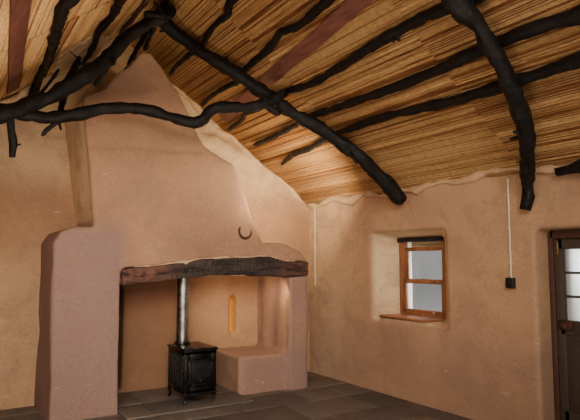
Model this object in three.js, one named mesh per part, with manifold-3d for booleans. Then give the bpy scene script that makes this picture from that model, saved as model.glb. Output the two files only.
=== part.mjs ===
// Hearth end of a thatched cottage: two end bays with the gable hearth, the front wall and the pole roof.
// Millimetres, +Z up, x across the ridge with the front wall at +x, y along the ridge with the gable at +y.
import * as THREE from 'three';
import { mergeVertices } from 'three/addons/utils/BufferGeometryUtils.js';
import Module from 'manifold-3d';

const wasm = await Module();
wasm.setup();

// Room
const ROOM_HALF = 2700;
const WALL_TOP = 2450;
const RIDGE = 4500;
const SLOPE = (RIDGE - WALL_TOP) / ROOM_HALF;
const TILT = Math.hypot(1, SLOPE);
const NEAR_END = -5300;
const FLOOR_THICK = 120;
const WALL_THICK = 600;
const GABLE_THICK = 900;
const OUTER = ROOM_HALF + WALL_THICK;
const LEAN_FOOT = 2000;
const LEAN = 0.168;

// Roof covering
const EAVES = 3650;
const VERGE = GABLE_THICK + 120;
const MAT_THICK = 30;
const THATCH_THICK = 300;
const RIDGE_CAP = 90;
const RIDGE_CAP_REACH = 520;

// Window
const WINDOW_NEAR = -2640;
const WINDOW_FAR = -1380;
const WINDOW_SILL = 840;
const WINDOW_HEAD = 1945;
const FRAME_NEAR = -2280;
const FRAME_FAR = -1510;
const FRAME_SILL = 900;
const FRAME_HEAD = 1875;
const FRAME_X = 3060;
const FRAME_DEPTH = 110;
const FRAME_WIDE = 45;
const SASH_WIDE = 40;
const SASH_THICK = 35;
const MEETING = 1335;
const LOWERED_TOP = 1755;
const GLASS_THICK = 6;

// Door
const DOOR_NEAR = -4690;
const DOOR_FAR = -3690;
const DOOR_HEAD = 1870;
const JAMB_WIDE = 55;
const JAMB_DEPTH = 110;
const LEAF_X = 2900;
const LEAF_THICK = 45;
const LEAF_GAP = 9;
const LEAF_TOP = 1780;
const LEAF_FOOT = 45;
const PANE_SILL = 1050;
const PANE_HEAD = 1690;
const STILE = 80;
const DOOR_PIN_X = LEAF_X - 9;
const DOOR_PIN_Y = DOOR_NEAR + JAMB_WIDE + 4.5;
const DOOR_PIN_RADIUS = 9;
const DOOR_HINGES = [300, 1450];
const HINGE_HALF = 45;
const RUNNING_GAP = 0.4;
const THRESHOLD = 30;

// Hearth
const BREAST_FRONT = -850;
const BREAST_THICK = 230;
const HEARTH_LEFT = -270;
const HEARTH_RIGHT = 1830;
const JAMB_RIGHT = 2100;
const PIER_LEFT = -950;
const PIER_TOP = 1930;
const JAMB_TOP = 1600;
const LOG_PROUD = 25;
const LOG_DEPTH = 250;
const LOG_COVER = 60;
const BENCH_LEFT = 1170;
const BENCH_FRONT = -780;
const BENCH_TOP = 440;
const STONE_TOP = 25;
const FLUE_SIDE = 190;

// Chimney stack
const STACK_HALF = 340;
const STACK_NEAR = 480;
const STACK_FAR = 840;
const STACK_TOP = 5750;
const STACK_CAP = 90;
const FLUE_FLOOR = 4400;

// Stove
const STOVE_X = 590;
const STOVE_Y = -720;
const STOVE_WIDE = 400;
const STOVE_DEEP = 560;
const STOVE_LEG = 110;
const STOVE_TOP = 620;
const STOVE_PLATE = 25;
const STOVE_WALL = 30;
const FIRE_WIDE = 290;
const FIRE_LOW = 210;
const FIRE_HIGH = 500;
const STOVE_PIN_X = STOVE_X - 153;
const STOVE_PIN_Y = STOVE_Y - 267;
const STOVE_PIN_RADIUS = 7;
const STOVE_HINGES = [232, 420];
const STOVE_HINGE_HALF = 28;
const PIPE_RADIUS = 72;
const PIPE_X = 545;
const PIPE_Y = -520;
const PIPE_LENGTH = 1500;

// Poles
const POLE_SIDES = 8;
const PURLIN_RADIUS = 50;
const LEFT_PURLIN_RADIUS = 57;
const RIGHT_BLADE_RADIUS = 80;
const WALL_FOOT_RADIUS = 64;
const LEFT_BLADE_RADIUS = 104;
const COLLAR_RADIUS = 62;
const RIDGE_POLE_RADIUS = 42;
const STRUT_RADIUS = 35;
const FORK_RADIUS = 24;
const BOARD_WIDE = 150;
const BOARD_THICK = 24;

// Play left between pieces that rest on a sloping or round face
const SEAT = 0.3;

const FINISH = {
  plaster: { color: 0xc9ad90, roughness: 0.92, metalness: 0 },
  render: { color: 0xd8d2c4, roughness: 0.93, metalness: 0 },
  hearthWall: { color: 0xb59a83, roughness: 0.93, metalness: 0 },
  stone: { color: 0x6d6761, roughness: 0.85, metalness: 0 },
  darkPole: { color: 0x2a1d14, roughness: 0.75, metalness: 0 },
  board: { color: 0x6b3620, roughness: 0.7, metalness: 0 },
  reed: { color: 0xb07f45, roughness: 0.8, metalness: 0 },
  thatch: { color: 0x8d7a55, roughness: 0.95, metalness: 0 },
  hewnLog: { color: 0x4a3a2e, roughness: 0.85, metalness: 0 },
  orangeWood: { color: 0x9c5a2a, roughness: 0.5, metalness: 0 },
  darkDoor: { color: 0x3b332b, roughness: 0.55, metalness: 0 },
  glass: { color: 0xd7e2e4, roughness: 0.08, metalness: 0, transparent: true, opacity: 0.45 },
  frosted: { color: 0xdfe4dd, roughness: 0.45, metalness: 0, transparent: true, opacity: 0.7 },
  blackCloth: { color: 0x1b1a1c, roughness: 0.8, metalness: 0 },
  castIron: { color: 0x1d1c1c, roughness: 0.6, metalness: 0.6 },
  zinc: { color: 0x9a9c9c, roughness: 0.45, metalness: 0.9 },
  creamPaint: { color: 0xcfc0a0, roughness: 0.5, metalness: 0 },
  blackPlastic: { color: 0x17171a, roughness: 0.4, metalness: 0 },
  rustIron: { color: 0x38241a, roughness: 0.8, metalness: 0.5 },
};

const cottage = new THREE.Group();
cottage.name = 'thatched_cottage_hearth_end';

function solid(geometry) {
  let g = geometry.clone();
  g.deleteAttribute('normal');
  if (g.attributes.uv) g.deleteAttribute('uv');
  g = mergeVertices(g, 1e-3);
  const mesh = new wasm.Mesh({
    numProp: 3,
    vertProperties: new Float32Array(g.attributes.position.array),
    triVerts: new Uint32Array(g.index.array),
  });
  mesh.merge();
  return new wasm.Manifold(mesh);
}

function place(name, body, finish) {
  const mesh = body.getMesh();
  const geometry = new THREE.BufferGeometry();
  geometry.setAttribute('position', new THREE.BufferAttribute(new Float32Array(mesh.vertProperties), 3));
  geometry.setIndex(new THREE.BufferAttribute(new Uint32Array(mesh.triVerts), 1));
  const flat = geometry.toNonIndexed();
  flat.computeVertexNormals();
  const node = new THREE.Mesh(flat, new THREE.MeshStandardMaterial({ ...FINISH[finish] }));
  node.name = name;
  cottage.add(node);
  return body;
}

function box(x0, x1, y0, y1, z0, z1) {
  const g = new THREE.BoxGeometry(x1 - x0, y1 - y0, z1 - z0);
  g.translate((x0 + x1) / 2, (y0 + y1) / 2, (z0 + z1) / 2);
  return solid(g);
}

function outline(points) {
  const shape = new THREE.Shape();
  points.forEach(([u, v], i) => (i ? shape.lineTo(u, v) : shape.moveTo(u, v)));
  shape.closePath();
  return shape;
}

// A profile in x and z, drawn out along y.
function alongY(points, y0, y1) {
  const g = new THREE.ExtrudeGeometry(outline(points), { depth: y1 - y0, bevelEnabled: false });
  g.rotateX(Math.PI / 2);
  g.translate(0, y1, 0);
  return solid(g);
}

// A profile in y and z, drawn out along x.
function alongX(points, x0, x1) {
  const g = new THREE.ExtrudeGeometry(outline(points), { depth: x1 - x0, bevelEnabled: false });
  const [x, y, z] = [new THREE.Vector3(1, 0, 0), new THREE.Vector3(0, 1, 0), new THREE.Vector3(0, 0, 1)];
  g.applyMatrix4(new THREE.Matrix4().makeBasis(y, z, x));
  g.translate(x0, 0, 0);
  return solid(g);
}

function cylinder(radius, height, sides, x, y, z) {
  const g = new THREE.CylinderGeometry(radius, radius, height, sides);
  g.rotateX(Math.PI / 2);
  g.translate(x, y, z + height / 2);
  return solid(g);
}

// A crooked round pole through the route, thinning from one end radius to the other.
function pole(route, startRadius, endRadius, steps = 12) {
  const curve = new THREE.CatmullRomCurve3(route.map((p) => new THREE.Vector3(...p)), false, 'centripetal');
  const ring = [];
  for (let i = 0; i < POLE_SIDES; i += 1) {
    const a = ((i + 0.5) / POLE_SIDES) * Math.PI * 2;
    ring.push([Math.cos(a) * startRadius, Math.sin(a) * startRadius]);
  }
  const g = new THREE.ExtrudeGeometry(outline(ring), { steps, bevelEnabled: false, extrudePath: curve });
  thin(g, curve.getSpacedPoints(steps), endRadius / startRadius);
  return solid(g);
}

function thin(geometry, centres, ratio) {
  const position = geometry.attributes.position;
  const v = new THREE.Vector3();
  for (let i = 0; i < position.count; i += 1) {
    v.fromBufferAttribute(position, i);
    let best = 0;
    centres.forEach((c, k) => {
      if (c.distanceTo(v) < centres[best].distanceTo(v)) best = k;
    });
    const scale = 1 + (ratio - 1) * (best / (centres.length - 1));
    v.sub(centres[best]).multiplyScalar(scale).add(centres[best]);
    position.setXYZ(i, v.x, v.y, v.z);
  }
}

// Height under the reed mat at x, lowered square to the slope.
function underMat(x, below) {
  return RIDGE - SLOPE * Math.abs(x) - below * TILT;
}

// A point without a height of its own lies below the mats.
function slopeRoute(points, below) {
  return points.map(([x, y, z]) => [x, y, z ?? underMat(x, below)]);
}

function mirrored(points) {
  return points.map(([x, ...rest]) => [-x, ...rest]);
}

// The gable's inner face leans back above the hearth.
function gableFace(z) {
  return Math.max(0, z - LEAN_FOOT) * LEAN;
}

function aheadOfGable() {
  const top = RIDGE + 200;
  const profile = [[0, LEAN_FOOT], [gableFace(top), top], [-50, top], [-50, LEAN_FOOT]];
  return alongX(profile, -ROOM_HALF, ROOM_HALF);
}

function behindGable() {
  const top = RIDGE + 1000;
  const foot = LEAN_FOOT + SEAT / LEAN;
  const profile = [[0, -500], [0, foot], [gableFace(top) - SEAT, top], [1500, top], [1500, -500]];
  return alongX(profile.reverse(), -OUTER - 700, OUTER + 700);
}

// What is left of a body after its neighbours, without the crumbs of a shallow notch.
function cut(body, ...others) {
  const left = others.reduce((rest, other) => rest.subtract(other), body);
  const pieces = left.decompose();
  return pieces.reduce((most, piece) => (piece.volume() > most.volume() ? piece : most), pieces[0]);
}

// Floor and walls
function slopedWall(side, y0, y1, z0) {
  const profile = [
    [side * ROOM_HALF, z0],
    [side * OUTER, z0],
    [side * OUTER, underMat(OUTER, 0)],
    [side * ROOM_HALF, WALL_TOP],
  ];
  return alongY(profile, y0, y1);
}

function windowVoid() {
  const corners = [
    [WINDOW_NEAR, WINDOW_FAR, WINDOW_SILL, WINDOW_HEAD],
    [FRAME_NEAR, FRAME_FAR, FRAME_SILL, FRAME_HEAD],
  ];
  const g = new THREE.BoxGeometry(1, 1, 1);
  const position = g.attributes.position;
  for (let i = 0; i < position.count; i += 1) {
    const outer = position.getX(i) > 0;
    const [near, far, low, high] = corners[outer ? 1 : 0];
    const y = position.getY(i) > 0 ? far : near;
    const z = position.getZ(i) > 0 ? high : low;
    position.setXYZ(i, outer ? FRAME_X : ROOM_HALF, y, z);
  }
  const room = box(ROOM_HALF - 50, ROOM_HALF, WINDOW_NEAR, WINDOW_FAR, WINDOW_SILL, WINDOW_HEAD);
  const outside = box(FRAME_X, OUTER + 50, FRAME_NEAR, FRAME_FAR, FRAME_SILL, FRAME_HEAD);
  return solid(g).add(room).add(outside);
}

function buildWalls() {
  const floor = box(-ROOM_HALF, ROOM_HALF, NEAR_END, 0, -FLOOR_THICK, 0);
  place('floor', floor, 'stone');
  const gableProfile = [
    [-OUTER, -FLOOR_THICK],
    [OUTER, -FLOOR_THICK],
    [OUTER, underMat(OUTER, 0)],
    [0, RIDGE],
    [-OUTER, underMat(OUTER, 0)],
  ];
  const niche = box(HEARTH_LEFT, 0, -50, 300, STONE_TOP, 1300).add(box(1412, 1512, -50, 140, 610, 1130));
  const gable = alongY(gableProfile, 0, GABLE_THICK).subtract(niche).subtract(aheadOfGable());
  const front = slopedWall(1, DOOR_FAR, 0, -FLOOR_THICK).subtract(windowVoid());
  const over = slopedWall(1, DOOR_NEAR, DOOR_FAR, DOOR_HEAD);
  const end = slopedWall(1, NEAR_END, DOOR_NEAR, -FLOOR_THICK);
  const back = slopedWall(-1, NEAR_END, 0, -FLOOR_THICK);
  return { floor, gable, front, over, end, back };
}

// Hearth masonry
const LOG_OUTLINE = [
  [-380, 1335],
  [-270, 1330],
  [150, 1360],
  [680, 1415],
  [1130, 1420],
  [1760, 1385],
  [2098, 1390],
  [2098, 1570],
  [1760, 1580],
  [1480, 1640],
  [680, 1605],
  [150, 1540],
  [-380, 1490],
];

const BREAST_OUTLINE = [
  [HEARTH_LEFT, 1400],
  [HEARTH_RIGHT, 1400],
  [HEARTH_RIGHT, JAMB_TOP],
  [JAMB_RIGHT, JAMB_TOP],
  [1980, 1725],
  [1760, 1810],
  [1430, 1800],
  [1300, 2060],
  [1130, 2540],
  [1010, 2730],
  [640, 2910],
  [540, 3100],
  [340, 3520],
  [264, 3600],
  [130, 3780],
  [0, 3930],
  [-116, 3930],
  [-265, 3705],
  [-340, 3655],
  [-505, 3400],
  [-720, 3290],
  [-560, PIER_TOP],
  [HEARTH_LEFT, PIER_TOP],
];

const HOOD_OUTLINE = [
  [HEARTH_LEFT, 1200],
  [HEARTH_RIGHT, 1200],
  [HEARTH_RIGHT, 1500],
  [1180, 1600],
  [930, 2200],
  [560, 2620],
  [230, 2620],
  [-90, 2200],
  [HEARTH_LEFT, 1720],
];

const PIER_OUTLINE = [
  [PIER_LEFT, 0],
  [HEARTH_LEFT, 0],
  [HEARTH_LEFT, PIER_TOP],
  [-760, PIER_TOP],
  [-880, 1880],
  [PIER_LEFT, 1760],
];

function buildHearth(behind, ridge) {
  const face = BREAST_FRONT - LOG_PROUD;
  const cover = box(-500, HEARTH_LEFT, face - 10, BREAST_FRONT + LOG_COVER, 1200, 1800);
  const log = alongY(LOG_OUTLINE, face, face + LOG_DEPTH).subtract(cover);
  const around = LOG_OUTLINE.map(([x, z], i) => [x, i < 7 ? z - SEAT : z + SEAT]);
  const socket = alongY(around, face, face + LOG_DEPTH).subtract(cover);
  const split = BREAST_FRONT + BREAST_THICK;
  const hood = alongY(HOOD_OUTLINE, split - 50, 900);
  const front = cut(alongY(BREAST_OUTLINE, BREAST_FRONT, split), socket, ridge.space);
  const core = cut(alongY(BREAST_OUTLINE, split, 900), hood, behind, ridge.space);
  const pier = cut(alongY(PIER_OUTLINE, BREAST_FRONT, 0), socket);
  const jamb = cut(box(HEARTH_RIGHT, JAMB_RIGHT, BREAST_FRONT, 0, 0, JAMB_TOP), socket);
  const bench = box(BENCH_LEFT, HEARTH_RIGHT, BENCH_FRONT, 0, 0, BENCH_TOP);
  const stone = box(HEARTH_LEFT, BENCH_LEFT, BREAST_FRONT - 300, 0, 0, STONE_TOP);
  place('lintel_log', log, 'hewnLog');
  place('chimney_breast_front', front, 'plaster');
  place('chimney_breast_core', core, 'plaster');
  place('hearth_left_pier', pier, 'plaster');
  place('hearth_right_jamb', jamb, 'plaster');
  place('hearth_bench', bench, 'plaster');
  place('hearthstone', stone, 'stone');
}

function buildStack() {
  const h = FLUE_SIDE / 2;
  const middle = (STACK_NEAR + STACK_FAR) / 2;
  const shaft = box(-h, h, middle - h, middle + h, FLUE_FLOOR, STACK_TOP + 50);
  const body = box(-STACK_HALF, STACK_HALF, STACK_NEAR, STACK_FAR, 4100, STACK_TOP - STACK_CAP);
  const lip = 45;
  const cap = box(
    -STACK_HALF - lip, STACK_HALF + lip, STACK_NEAR - lip, STACK_FAR + lip, STACK_TOP - STACK_CAP, STACK_TOP,
  );
  return { core: body, stack: body.subtract(shaft), cap: cap.subtract(shaft) };
}

// Roof covering
function slopeLayer(side, bottomFace, above, reach) {
  const below = bottomFace + SEAT;
  const drop = (above - below) * (SLOPE / TILT);
  const bottom = [side * reach, RIDGE - SLOPE * reach + below * TILT];
  const profile = [
    [0, RIDGE + below * TILT],
    bottom,
    [bottom[0] + side * drop, bottom[1] + (above - below) / TILT],
    [0, RIDGE + above * TILT],
  ];
  return alongY(profile, NEAR_END, VERGE);
}

function ridgeCap() {
  const low = MAT_THICK + THATCH_THICK + SEAT;
  const top = RIDGE + low * TILT;
  const half = [
    [RIDGE_CAP_REACH, top - SLOPE * RIDGE_CAP_REACH],
    [RIDGE_CAP_REACH + 50, top - SLOPE * RIDGE_CAP_REACH + 66],
    [110, top + RIDGE_CAP - 40],
    [0, top + RIDGE_CAP],
  ];
  const other = half.slice(0, 3).reverse().map(([x, z]) => [-x, z]);
  return alongY([[0, top], ...half, ...other], NEAR_END, VERGE);
}

function buildRoof(core, stack, cap) {
  const base = MAT_THICK + THATCH_THICK;
  for (const [side, label] of [[1, 'right'], [-1, 'left']]) {
    const mat = slopeLayer(side, 0, MAT_THICK, EAVES).subtract(core);
    place(`reed_mat_${label}`, mat, 'reed');
    const start = EAVES + MAT_THICK * (SLOPE / TILT);
    const thatch = slopeLayer(side, MAT_THICK, base, start).subtract(core);
    place(`thatch_${label}`, thatch, 'thatch');
  }
  place('thatch_ridge', ridgeCap().subtract(core), 'thatch');
  place('chimney_stack', stack, 'render');
  place('chimney_cap', cap, 'stone');
}

// Pole roof frame
const PAST_END = NEAR_END - 20;
const RIDGE_ROUTE = [
  [20, 460, 3930], [20, 60, 4040], [15, -500, 4210], [10, -1000, 4355], [20, -1500, 4385],
  [30, -2600, 4385], [15, -4000, 4380], [20, PAST_END, 4385],
];
const RIGHT_PURLINS = [
  [
    [548, 86], [515, -257], [518, -714], [530, -1010], [477, -1304], [454, -1641],
    [458, -1850], [402, -2077], [400, -3000], [340, -4200], [300, PAST_END],
  ],
  [
    [998, 66], [969, -372], [967, -803], [980, -1057], [927, -1278], [889, -1793],
    [852, -2108], [819, -2300], [848, -2600], [812, -3098], [700, -4300], [640, PAST_END],
  ],
  [
    [1388, 62], [1350, -433], [1300, -624], [1318, -895], [1284, -1639], [1307, -1892],
    [1316, -2165], [1296, -2574], [1240, -3500], [1260, -4400], [1280, PAST_END],
  ],
  [
    [1676, -162], [1671, -585], [1646, -1074], [1610, -1510], [1599, -1752],
    [1612, -2149], [1630, -3300], [1590, -4300], [1640, PAST_END],
  ],
  [
    [2018, -342], [1948, -747], [1938, -1091], [1891, -1494], [1861, -1793],
    [1850, -2700], [1900, -3700], [1870, PAST_END],
  ],
];
const LEFT_PURLINS = [
  [[217, -294], [228, -898], [241, -1393], [250, -2400], [240, -3600], [250, PAST_END]],
  [
    [530, 460], [541, -280], [629, -1083], [590, -1415], [646, -1895], [640, -3000], [600, -4200],
    [620, PAST_END],
  ],
  [
    [1050, 440], [1060, -200], [1078, -874], [1167, -1786], [1205, -2371], [1165, -2740],
    [1150, -3400], [1190, -4400], [1170, PAST_END],
  ],
  [[1710, 320], [1660, -900], [1760, -1900], [1860, -2900], [1920, -4000], [1950, PAST_END]],
  [[2110, 260], [2080, -1200], [2150, -2500], [2230, -3900], [2260, PAST_END]],
];
const RIGHT_BLADES = [
  [
    [-130, -1030], [60, -1020], [280, -1050], [570, -1220], [810, -1360], [1070, -1480], [1250, -1600],
    [1500, -1730], [1750, -1890], [2090, -2040], [2500, -2050], [2760, -2060],
  ],
  [[-130, -4090], [300, -4120], [800, -4190], [1400, -4250], [2000, -4110], [2350, -3900]],
];
const LEFT_BLADES = [
  [
    [-150, -1200], [60, -1190], [310, -1160, 3971], [440, -1150, 3838], [570, -1150, 3670], [780, -1150, 3450],
    [905, -1150, 3340], [1050, -1140, 3220], [1212, -1130, 3098], [1390, -1130, 2990], [1515, -1140, 2930],
    [1700, -1150, 2830], [2100, -1180, 2620], [2760, -1250],
  ],
  [[-150, -4260], [300, -4280], [900, -4200], [1500, -4150], [2200, -4200], [2760, -4220]],
];
const COLLARS = [
  [
    [-1520, -1090, 3000], [-1180, -1120, 2960], [-900, -1170, 2990], [-540, -1250, 3110], [-180, -1350, 3110],
    [190, -1450, 3020], [330, -1490, 3050], [480, -1530, 3190], [830, -1630, 3230], [1090, -1690, 3330],
    [1230, -1720, 3440],
  ],
  [[-1000, -4320, 3505], [-400, -4350, 3640], [200, -4360, 3630], [1010, -4340, 3530]],
];
const WALL_FOOT = [[2570, -3740, 2325], [2640, -3690, 2190], [2640, -3655, 2040]];
const COLLAR_FORK = [[-985, -1155, 2980], [-1003, -1140, 2938], [-1100, -1115, 2846], [-1142, -1100, 2782]];
const STRUT = [[-801, -860, 3653], [-940, -960, 3269], [-988, -1050, 3040], [-990, -1130, 2985]];
const HANGING_STUB = [[-1430, -1088, 2995], [-1418, -1060, 2935], [-1382, -1010, 2734], [-1384, -1000, 2559]];

function sawnBoard(side, x0, x1, grow = 0) {
  const across = new THREE.Vector3(side / TILT, 0, -SLOPE / TILT);
  const down = new THREE.Vector3((-side * SLOPE) / TILT, 0, -1 / TILT);
  const corners = [];
  for (const [x, y] of [[x0, 450], [x1, NEAR_END]]) {
    const edge = new THREE.Vector3(side * x, y, underMat(x, 0));
    for (const u of [-BOARD_WIDE / 2 - grow, BOARD_WIDE / 2 + grow]) {
      for (const v of [0, BOARD_THICK + grow]) {
        corners.push(edge.clone().addScaledVector(across, u).addScaledVector(down, v));
      }
    }
  }
  const g = new THREE.BoxGeometry(1, 1, 1);
  const position = g.attributes.position;
  for (let i = 0; i < position.count; i += 1) {
    const end = position.getY(i) > 0 ? 0 : 4;
    const wide = position.getX(i) * side > 0 ? 2 : 0;
    const deep = position.getZ(i) > 0 ? 0 : 1;
    const c = corners[end + wide + deep];
    position.setXYZ(i, c.x, c.y, c.z);
  }
  return solid(g);
}

// Everything above the underside of the mats, past the open end, or past the face of the gable.
function outsideRoof(behind) {
  const wide = OUTER + 700;
  const profile = [
    [-wide, underMat(wide, 0)],
    [0, RIDGE],
    [wide, underMat(wide, 0)],
    [wide, RIDGE + 900],
    [-wide, RIDGE + 900],
  ];
  const sky = alongY(profile, NEAR_END - 600, 1200);
  const near = box(-wide, wide, NEAR_END - 600, NEAR_END, 0, RIDGE + 900);
  return sky.add(near).add(behind);
}

// A pole and the slightly fatter one that its neighbours are notched for.
function member(route, startRadius, endRadius, steps, ...others) {
  const body = cut(pole(route, startRadius, endRadius, steps), ...others);
  return { body, space: pole(route, startRadius + SEAT, endRadius + SEAT, steps) };
}

function spaces(members) {
  return members.map((m) => m.space);
}

function buildPurlins(behind, outside, ridge) {
  const boards = [['right', 1, 1325, 780], ['left', -1, 1275, 1770]];
  const wide = {};
  for (const [label, side, x0, x1] of boards) {
    place(`${label}_sawn_board`, sawnBoard(side, x0, x1).subtract(behind), 'board');
    wide[label] = sawnBoard(side, x0, x1, SEAT);
  }
  const members = [ridge];
  place('ridge_pole', ridge.body, 'darkPole');
  const lists = [['right', RIGHT_PURLINS, PURLIN_RADIUS], ['left', LEFT_PURLINS, LEFT_PURLIN_RADIUS]];
  for (const [label, routes, radius] of lists) {
    routes.forEach((route, i) => {
      const line = slopeRoute(label === 'left' ? mirrored(route) : route, radius * 0.88);
      const purlin = member(line, radius * 0.66, radius * 1.2, 18, outside, wide[label]);
      place(`${label}_purlin_${i + 1}`, purlin.body, 'darkPole');
      members.push(purlin);
    });
  }
  return [...spaces(members), wide.right, wide.left];
}

function buildTrusses(walls, outside, above) {
  const around = [outside, ...above, walls.front, walls.over, walls.end, walls.back];
  const radius = RIGHT_BLADE_RADIUS;
  RIGHT_BLADES.forEach((route, i) => {
    const rightRoute = slopeRoute(route, PURLIN_RADIUS * 1.8 + radius);
    const leftRoute = slopeRoute(mirrored(LEFT_BLADES[i]), LEFT_PURLIN_RADIUS * 1.8 + LEFT_BLADE_RADIUS);
    if (i === 1) rightRoute.push(...WALL_FOOT);
    const right = member(rightRoute, radius, i === 1 ? WALL_FOOT_RADIUS : radius, 18, ...around);
    const left = member(leftRoute, LEFT_BLADE_RADIUS * 0.9, LEFT_BLADE_RADIUS, 14, right.space, ...around);
    const collar = member(COLLARS[i], COLLAR_RADIUS, COLLAR_RADIUS, 16, right.space, left.space, ...above);
    place(`truss_${i + 1}_right_blade`, right.body, 'darkPole');
    place(`truss_${i + 1}_left_blade`, left.body, 'darkPole');
    if (i === 0) buildStubs(collar, left);
    else place(`truss_${i + 1}_collar`, collar.body, 'darkPole');
  });
}

// The forked collar of the truss by the hearth, with the strut and the stub that it carries.
function buildStubs(collar, left) {
  const fork = pole(COLLAR_FORK, FORK_RADIUS, FORK_RADIUS * 0.8, 4);
  place('truss_1_collar', collar.body.add(fork), 'darkPole');
  const strut = member(STRUT, STRUT_RADIUS * 0.9, STRUT_RADIUS, 6, collar.space, left.space);
  place('truss_1_strut', strut.body, 'darkPole');
  const stub = member(HANGING_STUB, STRUT_RADIUS, STRUT_RADIUS, 6, collar.space, left.space);
  place('truss_1_hanging_stub', stub.body, 'darkPole');
}

// Window
function ring(x0, x1, y0, y1, z0, z1, wide) {
  const hole = box(x0 - 10, x1 + 10, y0 + wide, y1 - wide, z0 + wide, z1 - wide);
  return box(x0, x1, y0, y1, z0, z1).subtract(hole);
}

function sash(name, x, z0, z1) {
  const y0 = FRAME_NEAR + FRAME_WIDE;
  const y1 = FRAME_FAR - FRAME_WIDE;
  const body = ring(x, x + SASH_THICK, y0, y1, z0, z1, SASH_WIDE);
  const sheetX = x + SASH_THICK / 2 - GLASS_THICK / 2;
  const sheet = box(sheetX, sheetX + GLASS_THICK, y0 + 20, y1 - 20, z0 + 20, z1 - 20);
  place(`${name}_glass`, sheet, 'glass');
  place(name, body.subtract(sheet), 'orangeWood');
}

function buildWindow() {
  const x1 = FRAME_X + FRAME_DEPTH;
  const frame = ring(FRAME_X, x1, FRAME_NEAR, FRAME_FAR, FRAME_SILL, FRAME_HEAD, FRAME_WIDE);
  place('window_frame', frame, 'orangeWood');
  sash('upper_sash', FRAME_X + 60, MEETING - 20, LOWERED_TOP);
  sash('lower_sash', FRAME_X + 20, FRAME_SILL + FRAME_WIDE, MEETING + 20);
  const sill = box(ROOM_HALF + 30, FRAME_X, FRAME_NEAR + 20, FRAME_FAR - 20, FRAME_SILL, FRAME_SILL + 25);
  place('window_sill', sill, 'orangeWood');
  const blind = box(FRAME_X - 45, FRAME_X, FRAME_NEAR + 20, FRAME_FAR - 20, FRAME_HEAD - 55, FRAME_HEAD);
  place('blind_roller', blind, 'blackCloth');
}

function union(bodies) {
  return bodies.reduce((all, body) => all.add(body));
}

// Lift-off hinges: the lower half on the frame, the upper half on the leaf.
function doorHinges() {
  const [x, y] = [DOOR_PIN_X, DOOR_PIN_Y];
  const fixed = [];
  const moving = [];
  for (const z of DOOR_HINGES) {
    const split = z + HINGE_HALF;
    const top = split + HINGE_HALF;
    fixed.push(cylinder(DOOR_PIN_RADIUS, HINGE_HALF, 12, x, y, z));
    fixed.push(box(x + 3, LEAF_X + 2, y - 34, y, z, split));
    moving.push(cylinder(DOOR_PIN_RADIUS, HINGE_HALF - RUNNING_GAP, 12, x, y, split + RUNNING_GAP));
    moving.push(box(x + 3, LEAF_X + 2, y, y + 34, split + RUNNING_GAP, top));
  }
  return { fixed: union(fixed), moving: union(moving) };
}

// Door
function buildDoor() {
  const step = box(ROOM_HALF, OUTER, DOOR_NEAR, DOOR_FAR, -FLOOR_THICK, THRESHOLD);
  place('door_threshold', step, 'stone');
  const x0 = LEAF_X;
  const frame = box(x0, x0 + JAMB_DEPTH, DOOR_NEAR, DOOR_FAR, THRESHOLD, DOOR_HEAD);
  const hole = box(
    x0 - 10, x0 + JAMB_DEPTH + 10, DOOR_NEAR + JAMB_WIDE, DOOR_FAR - JAMB_WIDE, THRESHOLD - 10,
    LEAF_TOP + LEAF_GAP,
  );
  const hinges = doorHinges();
  place('door_frame', frame.subtract(hole).add(hinges.fixed), 'darkDoor');
  const y0 = DOOR_NEAR + JAMB_WIDE + LEAF_GAP;
  const y1 = DOOR_FAR - JAMB_WIDE - LEAF_GAP;
  const light = box(LEAF_X - 10, LEAF_X + LEAF_THICK + 10, y0 + STILE, y1 - STILE, PANE_SILL, PANE_HEAD);
  const middle = (y0 + y1) / 2;
  let leaf = box(LEAF_X, LEAF_X + LEAF_THICK, y0, y1, LEAF_FOOT, LEAF_TOP).subtract(light);
  const third = (PANE_HEAD - PANE_SILL) / 3;
  for (const z of [PANE_SILL + third, PANE_SILL + 2 * third]) {
    leaf = leaf.add(box(LEAF_X, LEAF_X + LEAF_THICK, y0 + STILE - 5, y1 - STILE + 5, z - 11, z + 11));
  }
  leaf = leaf.add(box(LEAF_X, LEAF_X + LEAF_THICK, middle - 11, middle + 11, PANE_SILL - 5, PANE_HEAD + 5));
  for (const [near, far] of [[y0 + STILE, middle - 30], [middle + 30, y1 - STILE]]) {
    for (const x of [LEAF_X - 10, LEAF_X + LEAF_THICK - 12]) {
      leaf = leaf.subtract(box(x, x + 22, near, far, 220, PANE_SILL - 130));
    }
  }
  const sheetX = LEAF_X + LEAF_THICK / 2 - GLASS_THICK / 2;
  const sheet = box(sheetX, sheetX + GLASS_THICK, y0 + STILE - 15, y1 - STILE + 15, PANE_SILL - 15, PANE_HEAD + 15);
  place('door_glass', sheet, 'frosted');
  place('door_leaf', leaf.subtract(sheet).add(hinges.moving), 'darkDoor');
  const lock = box(LEAF_X - 28, LEAF_X, y1 - 160, y1 - 20, 960, 1050);
  const spindle = solid(new THREE.CylinderGeometry(9, 9, 40, 12).rotateZ(Math.PI / 2).translate(LEAF_X - 42, y1 - 110, 1005));
  const knob = solid(new THREE.CylinderGeometry(24, 24, 26, 16).rotateZ(Math.PI / 2).translate(LEAF_X - 68, y1 - 110, 1005));
  place('door_lock', lock.add(spindle).add(knob), 'rustIron');
}

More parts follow.
